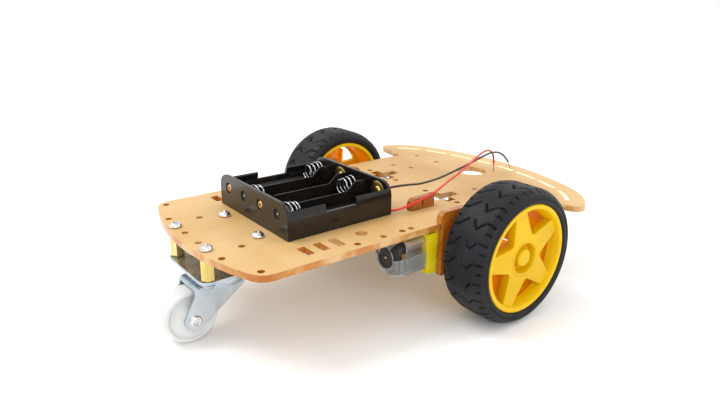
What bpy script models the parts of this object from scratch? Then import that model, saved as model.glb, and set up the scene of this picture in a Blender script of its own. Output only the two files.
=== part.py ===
"""Two wheel robot car: an acrylic chassis plate on two geared motors and a swivel caster,
with a four cell battery holder on top.

Metres, +Z up, +X towards the bumper arc. The origin is on the ground, under the middle of the
car's box. Most lengths are measured from the wheel axle, which is at X = AXLE_X.
"""
import math

import bmesh
import bpy
from mathutils import Matrix, Vector

MM = 0.001
GAP = 0.3 * MM                       # clearance between two pieces that touch

# Driving dimensions
WHEEL_RADIUS = 33.0 * MM
WHEEL_OUTER_Y = 82.5 * MM            # outer face of a tyre
WHEEL_INNER_Y = 57.5 * MM            # inner face of a tyre
RIM_RADIUS = 26.3 * MM
SPOKE_PHASE = {"left": 14.0, "right": 5.0}   # degrees, first rim arm above the +X of its frame
PLATE_THICKNESS = 3.0 * MM
FRONT_REACH = 80.0 * MM              # axle to the crown of the bumper arc
TAIL_REACH = 131.5 * MM              # axle to the crown of the tail edge
PLATE_HALF_WIDTH = 52.0 * MM
CASTER_X = -114.6 * MM               # swivel axis, from the wheel axle
CASTER_TRAIL = 16.2 * MM             # swivel axis to the caster wheel's axle
CASTER_RADIUS = 12.5 * MM
MOTOR_Y = 41.3 * MM                  # middle of a gearbox
GEARBOX_HALF_HEIGHT = 11.25 * MM
GEARBOX_HALF_WIDTH = 9.4 * MM
HOLDER_LENGTH = 57.5 * MM
HOLDER_WIDTH = 62.5 * MM
HOLDER_HEIGHT = 16.0 * MM
DIVIDER_THICKNESS = 0.5 * MM         # leaves 14.5 mm between dividers for an AA cell
CONTACT_Z = 9.9 * MM                 # spring and terminal height above the holder's base
HOLDER_X = -95.5 * MM                # tail side of the battery holder
HOLDER_Y = 2.0 * MM                  # the holder sits a little off the middle

AXLE_X = (-CASTER_X + CASTER_TRAIL + CASTER_RADIUS - FRONT_REACH) / 2
PLATE_LOW = WHEEL_RADIUS + GEARBOX_HALF_HEIGHT + GAP
PLATE_TOP = PLATE_LOW + PLATE_THICKNESS

# Bumper arc: a wide arc about the middle, then a tighter one out to each tip
WIDE_ARC = 147.0 * MM
TIGHT_ARC = 45.0 * MM
ARC_JOIN = math.radians(22.0)
ARC_TIP = math.radians(59.0)
WIDE_CENTRE = (FRONT_REACH - WIDE_ARC, 0.0)
TIGHT_CENTRE = (WIDE_CENTRE[0] + (WIDE_ARC - TIGHT_ARC) * math.cos(ARC_JOIN),
                (WIDE_ARC - TIGHT_ARC) * math.sin(ARC_JOIN))
ARC_SLOT_INSET = 9.0 * MM
ARC_SLOT_WIDTH = 2.0 * MM

# Fasteners
M3_SHANK = 1.4 * MM
M3_CLEARANCE = 1.75 * MM
PAN_RADIUS = 2.85 * MM
PAN_HEIGHT = 1.9 * MM
STANDOFF_LENGTH = 10.0 * MM
STANDOFF_RADIUS = 3.1 * MM           # across the corners, halved
CASTER_HOLE_X = 12.0 * MM            # half of the hole spacing along X
CASTER_HOLE_Y = 16.0 * MM

# Motor brackets
BRACKET_X = -19.5 * MM
BRACKET_THICKNESS = 3.0 * MM
BRACKET_HEAD = {"outer": 9.5 * MM, "inner": 7.9 * MM}     # half widths
BRACKET_STEM = {"outer": 8.0 * MM, "inner": 7.2 * MM}
BRACKET_TOP = PLATE_TOP + 6.0 * MM
BRACKET_BOTTOM = WHEEL_RADIUS - GEARBOX_HALF_HEIGHT + 0.1 * MM
BOLT_Z = 8.75 * MM                   # motor bolts, above and below the axle

# Gear motor, in its own frame: output shaft at the origin, +Y outboard
MOTOR_FACE = -33.2 * MM
NECK_X = -28.0 * MM                  # the case narrows from here back to the motor
NECK_HALF_HEIGHT = 10.0 * MM
GEARBOX_FRONT = 11.2 * MM
CASE_WALL = 1.3 * MM
SPLIT_Y = -6.4 * MM                  # plane between the case and its cover
CAN_RADIUS = 10.0 * MM
CAN_FLAT = 7.6 * MM
CAN_END = -45.3 * MM
CAP_END = -51.0 * MM
SHAFT_RADIUS = 2.7 * MM
SHAFT_FLAT = 1.85 * MM
SHAFT_REACH = 18.5 * MM

# Gear train: motor pinion 8 to crown 24, then 8 to 32 and 8 to 32, so 1:48
FINAL_MODULE = 0.5 * MM
MIDDLE_MODULE = 0.4 * MM
CROWN_MODULE = 0.5 * MM
PINION_TEETH = 8
WHEEL_TEETH = 32
CROWN_TEETH = 24
MID_Z = 3.0 * MM
FINAL_DISTANCE = (PINION_TEETH + WHEEL_TEETH) / 2 * FINAL_MODULE
MIDDLE_DISTANCE = (PINION_TEETH + WHEEL_TEETH) / 2 * MIDDLE_MODULE
MID_X = -math.sqrt(FINAL_DISTANCE ** 2 - MID_Z ** 2)
CROWN_X = MID_X - math.sqrt(MIDDLE_DISTANCE ** 2 - MID_Z ** 2)
CROWN_RING = CROWN_TEETH / 2 * CROWN_MODULE
PIN_RADIUS = 0.75 * MM

# Leads: routes from the battery holder to their tinned ends, from the wheel axle
LEAD_RADIUS = 0.55 * MM
RED_ROUTE = [(-37.6, -28.0, 49.1), (-36.3, -29.8, 49.6), (-33.9, -32.1, 50.7), (-26.8, -33.1, 52.1),
             (-15.1, -33.0, 54.4), (-7.0, -30.8, 55.6), (2.0, -28.0, 57.0), (14.0, -24.2, 58.4),
             (26.0, -20.4, 60.6), (37.0, -16.9, 62.9), (45.0, -14.3, 63.4), (51.0, -12.4, 62.1),
             (55.0, -11.2, 59.3), (57.0, -10.6, 55.6), (57.6, -10.5, 51.8), (57.6, -10.5, 48.9)]
BLACK_ROUTE = [(-37.6, -24.0, 58.9), (-34.5, -24.4, 59.3), (-30.0, -25.2, 59.4), (-23.0, -25.0, 58.7),
               (-14.0, -24.2, 57.5), (0.0, -21.9, 57.0), (14.0, -19.7, 57.9), (28.0, -17.5, 59.2),
               (40.0, -15.6, 60.7), (49.0, -14.2, 61.4), (57.0, -13.0, 60.4), (63.6, -12.0, 57.4),
               (69.0, -11.1, 53.2), (72.0, -10.7, 49.6), (72.5, -10.6, 48.9)]


# ---------------------------------------------------------------- scene and materials

def clear_scene():
    for item in list(bpy.data.objects):
        bpy.data.objects.remove(item, do_unlink=True)


def new_collection(name):
    group = bpy.data.collections.new(name)
    bpy.context.scene.collection.children.link(group)
    return group


def new_material(name, colour, roughness, metallic=0.0):
    material = bpy.data.materials.new(name)
    material.use_nodes = True
    shader = material.node_tree.nodes["Principled BSDF"]
    shader.inputs["Base Color"].default_value = (*colour, 1.0)
    shader.inputs["Roughness"].default_value = roughness
    shader.inputs["Metallic"].default_value = metallic
    material.diffuse_color = (*colour, 1.0)
    return material


clear_scene()
CAR = new_collection("two_wheel_robot_car")
CUTTERS = new_collection("cutters")

ACRYLIC = new_material("amber_acrylic", (0.83, 0.56, 0.24), 0.35)
BRACKET = new_material("brown_acrylic", (0.56, 0.18, 0.012), 0.3)
STEEL = new_material("bright_steel", (0.72, 0.72, 0.73), 0.25, 1.0)
BRASS = new_material("brass", (0.75, 0.55, 0.2), 0.3, 1.0)
ZINC = new_material("zinc_plated_steel", (0.62, 0.68, 0.74), 0.35, 1.0)
YELLOW = new_material("yellow_plastic", (1.0, 0.6, 0.01), 0.35)
CASE = new_material("clear_yellow_plastic", (0.8, 0.72, 0.02), 0.3)
RUBBER = new_material("grey_rubber", (0.045, 0.045, 0.055), 0.6)
BLACK = new_material("black_plastic", (0.018, 0.017, 0.016), 0.4)
CLEAR = new_material("clear_plastic", (0.75, 0.78, 0.76), 0.2)
NYLON = new_material("white_nylon", (0.82, 0.82, 0.78), 0.4)
WHITE_GEAR = new_material("gear_plastic", (0.85, 0.85, 0.82), 0.45)
RED_WIRE = new_material("red_insulation", (0.7, 0.03, 0.02), 0.4)
BLACK_WIRE = new_material("black_insulation", (0.02, 0.02, 0.02), 0.4)


def new_frame(name, location, parent=None, turn=(0.0, 0.0, 0.0)):
    """An empty that holds the pieces of one assembly."""
    empty = bpy.data.objects.new(name, None)
    empty.empty_display_size = 5 * MM
    empty.location = location
    empty.rotation_euler = turn
    empty.parent = parent
    CAR.objects.link(empty)
    return empty


# ---------------------------------------------------------------- shape helpers

PLANES = {"XY": Matrix.Identity(3),
          "XZ": Matrix(((1, 0, 0), (0, 0, -1), (0, 1, 0))),
          "YZ": Matrix(((0, 0, 1), (1, 0, 0), (0, 1, 0)))}


def adopt(piece, name, material, parent, smooth_angle=None):
    """Names a new object, gives it a material and moves it to the car's collection."""
    piece.name = name
    piece.data.name = name
    piece.parent = parent
    piece.data.materials.clear()
    if material:
        piece.data.materials.append(material)
    for group in list(piece.users_collection):
        group.objects.unlink(piece)
    (CAR if material else CUTTERS).objects.link(piece)
    if not material:
        piece.hide_render = True
        piece.display_type = "WIRE"
    if smooth_angle and piece.type == "MESH":
        piece.data.shade_smooth()
        piece.data.set_sharp_from_angle(angle=math.radians(smooth_angle))
    return piece


def block(name, low, high, material=None, parent=None):
    """A box between two corners."""
    low, high = Vector(low), Vector(high)
    bpy.ops.mesh.primitive_cube_add(size=1.0, location=(low + high) / 2)
    piece = bpy.context.object
    piece.data.transform(Matrix.Diagonal((*(high - low), 1.0)))
    return adopt(piece, name, material, parent)


def rod(name, radius, start, end, material=None, parent=None, sides=20):
    """A cylinder between two points, or a prism if it has few sides."""
    start, end = Vector(start), Vector(end)
    along = end - start
    bpy.ops.mesh.primitive_cylinder_add(vertices=sides, radius=radius, depth=along.length,
                                        location=(start + end) / 2)
    piece = bpy.context.object
    piece.rotation_euler = along.to_track_quat("Z", "Y").to_euler()
    return adopt(piece, name, material, parent, smooth_angle=40)


def turned(name, profile, material=None, parent=None, steps=32, axis="Z", location=(0, 0, 0)):
    """A profile of (radius, height) points, listed down its outer side, turned about an axis."""
    mesh = bpy.data.meshes.new(name)
    shape = bmesh.new()
    points = [shape.verts.new((radius, 0.0, height)) for radius, height in profile]
    for first, second in zip(points, points[1:]):
        shape.edges.new((first, second))
    if profile[0][0] > 0:
        shape.edges.new((points[-1], points[0]))
    shape.to_mesh(mesh)
    shape.free()
    piece = bpy.data.objects.new(name, mesh)
    CAR.objects.link(piece)
    adopt(piece, name, material, parent)
    turns = {"Z": (0, 0, 0), "Y": (-math.pi / 2, 0, 0), "X": (0, math.pi / 2, 0)}
    piece.rotation_euler = turns[axis]
    piece.location = location
    screw = piece.modifiers.new("turned", "SCREW")
    screw.steps = steps
    screw.render_steps = steps
    screw.use_merge_vertices = True
    screw.merge_threshold = 0.00001
    screw.use_smooth_shade = True
    return piece


def outline_plate(name, outlines, low, high, material=None, parent=None, plane="XY"):
    """A flat piece: the first outline is its edge and the others are holes through it."""
    curve = bpy.data.curves.new(name, "CURVE")
    curve.dimensions = "2D"
    curve.fill_mode = "BOTH"
    curve.extrude = (high - low) / 2
    for outline in outlines:
        spline = curve.splines.new("POLY")
        spline.points.add(len(outline) - 1)
        for point, (u, v) in zip(spline.points, outline):
            point.co = (u, v, 0.0, 1.0)
        spline.use_cyclic_u = True
    turn = PLANES[plane]
    piece = bpy.data.objects.new(name, curve)
    CAR.objects.link(piece)
    middle = (low + high) / 2
    offset = turn @ Vector((0, 0, 1))
    piece.location = Vector([abs(value) * middle for value in offset])
    piece.rotation_euler = turn.to_euler()
    return adopt(piece, name, material, parent)


def as_mesh(piece):
    """Turns a curve object into a mesh object with the same name, place and material."""
    bpy.context.view_layer.update()
    evaluated = piece.evaluated_get(bpy.context.evaluated_depsgraph_get())
    mesh = bpy.data.meshes.new_from_object(evaluated)
    shape = bmesh.new()
    shape.from_mesh(mesh)
    bmesh.ops.remove_doubles(shape, verts=shape.verts, dist=0.00001)
    shape.to_mesh(mesh)
    shape.free()
    name = piece.name
    parent = piece.parent
    place = piece.matrix_local.copy()
    material = piece.data.materials[0] if piece.data.materials else None
    bpy.data.objects.remove(piece, do_unlink=True)
    solid = bpy.data.objects.new(name, mesh)
    CAR.objects.link(solid)
    adopt(solid, name, material, parent)
    solid.matrix_local = place
    return solid


def plate_mesh(*args, **kwargs):
    return as_mesh(outline_plate(*args, **kwargs))


def combine(piece, other, operation):
    boolean = piece.modifiers.new(other.name, "BOOLEAN")
    boolean.operation = operation
    boolean.solver = "EXACT"
    boolean.object = other
    return piece


def cut(piece, *others):
    for other in others:
        combine(piece, other, "DIFFERENCE")
    return piece


def join(piece, *others):
    for other in others:
        combine(piece, other, "UNION")
    return piece


def circle(u, v, radius, sides=12, start=0.0):
    return [(u + radius * math.cos(start + math.tau * i / sides),
             v + radius * math.sin(start + math.tau * i / sides)) for i in range(sides)]


def rectangle(u0, v0, u1, v1):
    return [(u0, v0), (u1, v0), (u1, v1), (u0, v1)]


def rounded(corners, steps=3):
    """An outline from (u, v, radius) corners, each rounded by an arc of its radius."""
    outline = []
    for index, (u, v, radius) in enumerate(corners):
        here = Vector((u, v))
        before = (Vector(corners[index - 1][:2]) - here).normalized()
        after = (Vector(corners[(index + 1) % len(corners)][:2]) - here).normalized()
        if radius == 0:
            outline.append((u, v))
            continue
        half = before.angle(after) / 2
        reach = radius / math.tan(half)
        centre = here + (before + after).normalized() * (radius / math.sin(half))
        first = here + before * reach - centre
        last = here + after * reach - centre
        sweep = first.angle_signed(last)
        for step in range(steps + 1):
            spoke = first.copy()
            spoke.rotate(Matrix.Rotation(-sweep * step / steps, 2))
            outline.append(tuple(centre + spoke))
    return outline


def mirrored(half):
    """A closed outline from the half with v >= 0, listed from one end of the axis to the other."""
    return half + [(u, -v) for u, v in reversed(half) if abs(v) > 1e-9]


def tube(name, points, radius, material, parent, resolution=2):
    """A round wire along a list of points."""
    curve = bpy.data.curves.new(name, "CURVE")
    curve.dimensions = "3D"
    curve.bevel_depth = radius
    curve.bevel_resolution = resolution
    curve.use_fill_caps = True
    spline = curve.splines.new("POLY")
    spline.points.add(len(points) - 1)
    for point, place in zip(spline.points, points):
        point.co = (*place, 1.0)
    piece = bpy.data.objects.new(name, curve)
    CAR.objects.link(piece)
    return adopt(piece, name, material, parent)


def smooth_route(route, spacing):
    """Points about one spacing apart on a smooth curve through the route's own points."""
    knots = [Vector(point) * MM for point in route]
    knots = [2 * knots[0] - knots[1]] + knots + [2 * knots[-1] - knots[-2]]
    points = []
    for before, start, end, after in zip(knots, knots[1:], knots[2:], knots[3:]):
        count = max(1, round((end - start).length / spacing))
        for step in range(count):
            t = step / count
            points.append(0.5 * (2 * start + (end - before) * t
                                 + (2 * before - 5 * start + 4 * end - after) * t * t
                                 + (3 * start - before - 3 * end + after) * t ** 3))
    points.append(knots[-2])
    return points


# ---------------------------------------------------------------- chassis plate and brackets

def arc_slot(centre, radius, first, last, width, steps=4):
    """A thin slot along an arc, between two angles in degrees."""
    angles = [math.radians(first + (last - first) * i / steps) for i in range(steps + 1)]
    edges = []
    for reach, sweep in ((radius - width / 2, angles), (radius + width / 2, angles[::-1])):
        edges += [(centre[0] + reach * math.cos(a), centre[1] + reach * math.sin(a)) for a in sweep]
    return edges


def cross(u, v, arm_u, arm_v, width):
    """A cross-shaped cut-out."""
    half = width / 2
    return [(u - arm_u, v - half), (u - half, v - half), (u - half, v - arm_v), (u + half, v - arm_v),
            (u + half, v - half), (u + arm_u, v - half), (u + arm_u, v + half), (u + half, v + half),
            (u + half, v + arm_v), (u - half, v + arm_v), (u - half, v + half), (u - arm_u, v + half)]


def bumper_curve(steps=6):
    """The outer edge of the bumper arc: a wide arc, then a tighter one towards the tip."""
    points = []
    for step in range(steps):
        angle = ARC_JOIN * step / steps
        points.append((WIDE_CENTRE[0] + WIDE_ARC * math.cos(angle), WIDE_ARC * math.sin(angle)))
    for step in range(steps + 1):
        angle = ARC_JOIN + (ARC_TIP - ARC_JOIN) * step / steps
        points.append((TIGHT_CENTRE[0] + TIGHT_ARC * math.cos(angle),
                       TIGHT_CENTRE[1] + TIGHT_ARC * math.sin(angle)))
    return points


def tail_curve(steps=5):
    """The bulged tail edge, an arc, from near its corner to its crown."""
    corner_v = 44.0 * MM
    radius = 134.0 * MM
    centre = radius - TAIL_REACH
    reach = math.asin(corner_v / radius)
    return [(centre - radius * math.cos(reach * (1 - step / steps)),
             radius * math.sin(reach * (1 - step / steps))) for step in range(steps + 1)]


def plate_outline():
    """The plate's edge: arc tip, wheel clearance, bracket notch, straight side and bulged tail."""
    notch_low = BRACKET_X - BRACKET_STEM["outer"] - GAP
    notch_high = BRACKET_X + BRACKET_STEM["outer"] + GAP
    notch_v = MOTOR_Y + GEARBOX_HALF_WIDTH
    arc = bumper_curve()
    side = rounded([(*arc[-1], 0), (43.8 * MM, 78.1 * MM, 6.0 * MM),
                    (40.0 * MM, PLATE_HALF_WIDTH, 3.0 * MM), (notch_high, PLATE_HALF_WIDTH, 0),
                    (notch_high, notch_v, 0), (notch_low, notch_v, 0),
                    (notch_low, PLATE_HALF_WIDTH, 0), (-120.5 * MM, PLATE_HALF_WIDTH, 8.0 * MM),
                    (-125.2 * MM, 42.0 * MM, 0)])
    half = arc + side[1:-1] + tail_curve()
    return mirrored(half)


def plate_holes():
    """Every hole in the plate, as outlines: most come in pairs about the middle."""
    small, large = 1.6 * MM, 2.75 * MM
    paired = [(-126.0, 7.0, small), (-113.0, 21.0, small), (-125.3, 27.5, small), (-118.6, 47.2, small),
              (-64.0, 39.5, large), (-72.6, 48.0, small), (-58.4, 48.0, small), (-47.4, 48.0, small),
              (-42.2, 48.0, small), (1.0, 12.0, small), (1.0, 35.5, small),
              (20.0, 36.0, small), (25.0, 25.5, small), (47.0, 26.0, small), (47.0, 44.0, small)]
    holes = []
    for side in (1, -1):
        for u, v, radius in paired:
            holes.append(circle(u * MM, side * v * MM, radius, 8 if radius == small else 12))
        for u in (-94.4, -86.6, -78.7):
            holes.append(rectangle((u - 2) * MM, side * 41.0 * MM - 4.2 * MM,
                                   (u + 2) * MM, side * 41.0 * MM + 4.2 * MM))
        for u, v in ((CASTER_HOLE_X, CASTER_HOLE_Y), (-CASTER_HOLE_X, CASTER_HOLE_Y)):
            holes.append(circle(CASTER_X + u, side * v, M3_CLEARANCE, 10))
        holes.append(cross(1.0 * MM, side * 23.8 * MM, 10.5 * MM, 8.0 * MM, 5.5 * MM))
        slot_v = side * (MOTOR_Y - GEARBOX_HALF_WIDTH - GAP - BRACKET_THICKNESS / 2)
        reach = BRACKET_THICKNESS / 2 + GAP
        half = BRACKET_STEM["inner"] + GAP
        holes.append(rectangle(BRACKET_X - half, slot_v - reach, BRACKET_X + half, slot_v + reach))
        for first, last in ((1.2, 6.2), (7.4, 13.9), (15.3, 21.4)):
            holes.append(arc_slot(WIDE_CENTRE, WIDE_ARC - ARC_SLOT_INSET, side * first, side * last,
                                  ARC_SLOT_WIDTH))
        holes.append(arc_slot((TIGHT_CENTRE[0], side * TIGHT_CENTRE[1]), TIGHT_ARC - ARC_SLOT_INSET,
                              side * 27.0, side * 52.0, ARC_SLOT_WIDTH))
    holes.append(circle(50.0 * MM, 0.0, 9.0 * MM, 20))
    return holes


def build_chassis(frame):
    outline_plate("chassis_plate", [plate_outline()] + plate_holes(), PLATE_LOW, PLATE_TOP,
                  ACRYLIC, frame)


def build_bracket(word, place, frame, side, inner_face):
    """A T-shaped motor bracket, whose shoulders rest on the plate."""
    shoulder = PLATE_TOP + GAP
    stem = BRACKET_STEM[place]
    head = BRACKET_HEAD[place]
    edge = rounded([(BRACKET_X - stem, BRACKET_BOTTOM, 0), (BRACKET_X + stem, BRACKET_BOTTOM, 0),
                    (BRACKET_X + stem, shoulder, 0), (BRACKET_X + head, shoulder, 0),
                    (BRACKET_X + head, BRACKET_TOP, 3 * MM), (BRACKET_X - head, BRACKET_TOP, 3 * MM),
                    (BRACKET_X - head, shoulder, 0), (BRACKET_X - stem, shoulder, 0)])
    holes = [circle(BRACKET_X, WHEEL_RADIUS + z, M3_CLEARANCE, 8) for z in (-BOLT_Z, BOLT_Z)]
    holes.append(rectangle(BRACKET_X - 0.4 * MM, shoulder + 0.6 * MM,
                           BRACKET_X + 0.4 * MM, BRACKET_TOP - 0.9 * MM))
    faces = sorted((side * inner_face, side * (inner_face + BRACKET_THICKNESS)))
    outline_plate(f"motor_bracket_{word}_{place}", [edge] + holes, faces[0], faces[1], BRACKET,
                  frame, plane="XZ")


# ---------------------------------------------------------------- fasteners

def build_screw(name, frame, seat, down, shank, material=STEEL):
    """A pan head screw: the head's underside is at seat and the shank runs along down."""
    down = Vector(down)
    profile = [(0.0, PAN_HEIGHT), (0.8 * PAN_RADIUS, 0.75 * PAN_HEIGHT), (PAN_RADIUS, 0.2 * PAN_HEIGHT),
               (PAN_RADIUS, 0.0), (M3_SHANK, 0.0), (M3_SHANK, -shank), (0.0, -shank)]
    screw = turned(name, profile, material, frame, steps=8)
    screw.rotation_euler = (-down).to_track_quat("Z", "Y").to_euler()
    screw.location = seat
    return screw


def build_nut(name, frame, centre, thickness):
    """A hexagon nut with a clear bore, whose axis is along Y."""
    outline = circle(0.0, 0.0, 3.15 * MM, 6)
    bore = circle(0.0, 0.0, 1.7 * MM, 8)
    nut = outline_plate(name, [outline, bore], -thickness / 2, thickness / 2, STEEL, frame, plane="XZ")
    nut.location = centre
    return nut


def build_motor_fasteners(frame, side, word):
    """Two long bolts through a gearbox and its brackets, with nuts inboard."""
    outer_seat = MOTOR_Y + GEARBOX_HALF_WIDTH + 2 * GAP + BRACKET_THICKNESS
    inner_seat = MOTOR_Y - GEARBOX_HALF_WIDTH - 2 * GAP - BRACKET_THICKNESS
    nut_thickness = 2.3 * MM
    for level, z in (("upper", BOLT_Z), ("lower", -BOLT_Z)):
        height = WHEEL_RADIUS + z
        shank = outer_seat - inner_seat + nut_thickness + 0.8 * MM
        build_screw(f"motor_bolt_{word}_{level}", frame, (BRACKET_X, side * outer_seat, height),
                    (0, -side, 0), shank)
        build_nut(f"motor_nut_{word}_{level}", frame,
                  (BRACKET_X, side * (inner_seat - nut_thickness / 2), height), nut_thickness)


# ---------------------------------------------------------------- gear motor

def gear_outline(teeth, module, phase=0.0):
    """A spur gear's outline: a flat tip and a pointed gap, slimmed for running clearance."""
    pitch_radius = teeth * module / 2
    tip_radius = pitch_radius + 0.75 * module
    root_radius = pitch_radius - 1.1 * module
    pitch = math.tau / teeth
    tooth = [(root_radius, -0.5 * pitch), (tip_radius, -0.09 * pitch), (tip_radius, 0.09 * pitch)]
    return [(radius * math.cos(phase + index * pitch + angle),
             radius * math.sin(phase + index * pitch + angle))
            for index in range(teeth) for radius, angle in tooth]


def spur(name, teeth, module, low, high, phase, bore, material=None, parent=None):
    """A spur gear whose axis is along Y, from low to high."""
    outlines = [gear_outline(teeth, module, phase)]
    if bore:
        outlines.append(circle(0.0, 0.0, bore, 8))
    return plate_mesh(name, outlines, low, high, material, parent, plane="XZ")


def mesh_phase(driver_teeth, driver_phase, driven_teeth, direction):
    """The phase that puts a gap of the driven gear against a tooth of the driver.

    direction is the angle from the driver's centre to the driven gear's centre.
    """
    facing = driver_teeth * (direction - driver_phase) / math.tau
    offset = (facing - round(facing)) * math.tau
    return direction + math.pi + (offset + math.pi) / driven_teeth


def build_gearbox(frame, word):
    """The moulded case with its gear pins, and the cover that closes it."""
    low, high = -GEARBOX_HALF_HEIGHT, GEARBOX_HALF_HEIGHT
    neck = NECK_HALF_HEIGHT
    outer = rounded([(MOTOR_FACE, -neck, 0), (NECK_X, -neck, 0), (NECK_X, low, 0.8 * MM),
                     (GEARBOX_FRONT, low, 4 * MM), (GEARBOX_FRONT, -3 * MM, 0),
                     (GEARBOX_FRONT + 5 * MM, -3 * MM, 2 * MM), (GEARBOX_FRONT + 5 * MM, 3 * MM, 2 * MM),
                     (GEARBOX_FRONT, 3 * MM, 0), (GEARBOX_FRONT, high, 4 * MM),
                     (NECK_X, high, 0.8 * MM), (NECK_X, neck, 0), (MOTOR_FACE, neck, 0)])
    inner = rounded([(MOTOR_FACE + CASE_WALL, CASE_WALL - neck, 0),
                     (NECK_X + CASE_WALL, CASE_WALL - neck, 0), (NECK_X + CASE_WALL, low + CASE_WALL, 0),
                     (GEARBOX_FRONT - CASE_WALL, low + CASE_WALL, 3 * MM),
                     (GEARBOX_FRONT - CASE_WALL, high - CASE_WALL, 3 * MM),
                     (NECK_X + CASE_WALL, high - CASE_WALL, 0), (NECK_X + CASE_WALL, neck - CASE_WALL, 0),
                     (MOTOR_FACE + CASE_WALL, neck - CASE_WALL, 0)])
    tab_hole = circle(GEARBOX_FRONT + 2.4 * MM, 0.0, 1.5 * MM, 10)
    case = plate_mesh(f"gearbox_case_{word}", [outer, tab_hole], SPLIT_Y, GEARBOX_HALF_WIDTH,
                      CASE, frame, plane="XZ")
    hollow = plate_mesh(f"case_hollow_{word}", [inner], SPLIT_Y - 1 * MM, GEARBOX_HALF_WIDTH - CASE_WALL,
                        None, frame, plane="XZ")
    cut(case, hollow)
    for label, x, z in (("mid", MID_X, MID_Z), ("crown", CROWN_X, 0.0)):
        pin = rod(f"{label}_pin_{word}", PIN_RADIUS, (x, SPLIT_Y + GAP, z),
                  (x, GEARBOX_HALF_WIDTH - CASE_WALL / 2, z), None, frame, 10)
        join(case, pin)
    for level, z in (("upper", BOLT_Z), ("lower", -BOLT_Z)):
        boss = rod(f"{level}_boss_{word}", 2.3 * MM, (BRACKET_X, SPLIT_Y, z),
                   (BRACKET_X, GEARBOX_HALF_WIDTH - CASE_WALL / 2, z), None, frame, 12)
        join(case, boss)
    for level, z in (("upper", BOLT_Z), ("lower", -BOLT_Z)):
        bore = rod(f"{level}_bore_{word}", M3_CLEARANCE, (BRACKET_X, -12 * MM, z),
                   (BRACKET_X, 12 * MM, z), None, frame, 10)
        cut(case, bore)
    cut(case, rod(f"shaft_bore_{word}", SHAFT_RADIUS + 0.25 * MM, (0, 5 * MM, 0), (0, 12 * MM, 0),
                  None, frame, 16),
        rod(f"pinion_way_{word}", 3.2 * MM, (MOTOR_FACE - 1 * MM, 0, 0),
            (MOTOR_FACE + CASE_WALL + 1 * MM, 0, 0), None, frame, 12))
    cover_holes = [circle(0.0, 0.0, SHAFT_RADIUS + 0.25 * MM, 16), tab_hole,
                   circle(BRACKET_X, BOLT_Z, M3_CLEARANCE, 10),
                   circle(BRACKET_X, -BOLT_Z, M3_CLEARANCE, 10)]
    outline_plate(f"gearbox_cover_{word}", [outer] + cover_holes, -GEARBOX_HALF_WIDTH,
                  SPLIT_Y - GAP, CASE, frame, plane="XZ")


def build_motor(frame, word):
    """The can with its flats, the end cap, and the strap that holds the motor to the gearbox."""
    face = MOTOR_FACE - GAP
    can = rod(f"motor_can_{word}", CAN_RADIUS, (CAN_END, 0, 0), (face, 0, 0), STEEL, frame, 20)
    inside = rod(f"can_hollow_{word}", CAN_RADIUS - 0.7 * MM, (CAN_END - 1 * MM, 0, 0),
                 (face - 0.8 * MM, 0, 0), None, frame, 16)
    cut(inside, *[block(f"inner_flat_{word}_{index}", (CAN_END - 2 * MM, low, -12 * MM),
                        (face + 1 * MM, high, 12 * MM), None, frame)
                  for index, (low, high) in enumerate(((CAN_FLAT - 0.7 * MM, 12 * MM),
                                                       (-12 * MM, -CAN_FLAT + 0.7 * MM)))])
    cut(can, inside, *[block(f"outer_flat_{word}_{index}", (CAN_END - 2 * MM, low, -12 * MM),
                             (face + 1 * MM, high, 12 * MM), None, frame)
                       for index, (low, high) in enumerate(((CAN_FLAT, 12 * MM),
                                                            (-12 * MM, -CAN_FLAT)))])
    cut(can, rod(f"face_bore_{word}", 1.5 * MM, (face - 2 * MM, 0, 0), (face + 1 * MM, 0, 0),
                 None, frame, 12))
    depth = CAN_END - GAP - CAP_END
    profile = [(CAN_RADIUS - 0.3 * MM, depth), (CAN_RADIUS - 0.3 * MM, 1.8 * MM),
               (CAN_RADIUS - 1.2 * MM, MM), (4.2 * MM, MM), (4.2 * MM, 0.0), (1.3 * MM, 0.0), (1.3 * MM, 3.4 * MM),
               (7.0 * MM, 3.4 * MM), (7.0 * MM, depth)]
    cap = turned(f"motor_end_cap_{word}", profile, BLACK, frame, steps=18, axis="X",
                 location=(CAP_END, 0, 0))
    cut(cap, *[block(f"cap_flat_{word}_{index}", (CAP_END - 2 * MM, low, -12 * MM),
                     (CAN_END + 2 * MM, high, 12 * MM), None, frame)
               for index, (low, high) in enumerate(((CAN_FLAT, 12 * MM), (-12 * MM, -CAN_FLAT)))])
    build_strap(frame, word)


def build_strap(frame, word):
    """A clear band from the gearbox's neck, round the end of the motor, with a round window."""
    thickness = 0.7 * MM
    reach = CAN_RADIUS + GAP
    end = CAP_END - GAP
    start = NECK_X - GAP
    outer = rounded([(start, reach + thickness, 0), (end - thickness, reach + thickness, 4.7 * MM),
                     (end - thickness, -reach - thickness, 4.7 * MM), (start, -reach - thickness, 0)], 4)
    inner = rounded([(start, -reach, 0), (end, -reach, 4 * MM), (end, reach, 4 * MM), (start, reach, 0)], 4)
    strap = plate_mesh(f"motor_strap_{word}", [outer + inner], -5.5 * MM, 5.5 * MM,
                       CLEAR, frame, plane="XZ")
    ring = rod(f"strap_ring_{word}", 8.6 * MM, (end - thickness + 0.05 * MM, 0, 0),
               (end - 0.05 * MM, 0, 0), None, frame, 20)
    window = rod(f"strap_window_{word}", 5.6 * MM, (end - 3 * MM, 0, 0), (end + 1 * MM, 0, 0),
                 None, frame, 16)
    cut(join(strap, ring), window)


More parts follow.
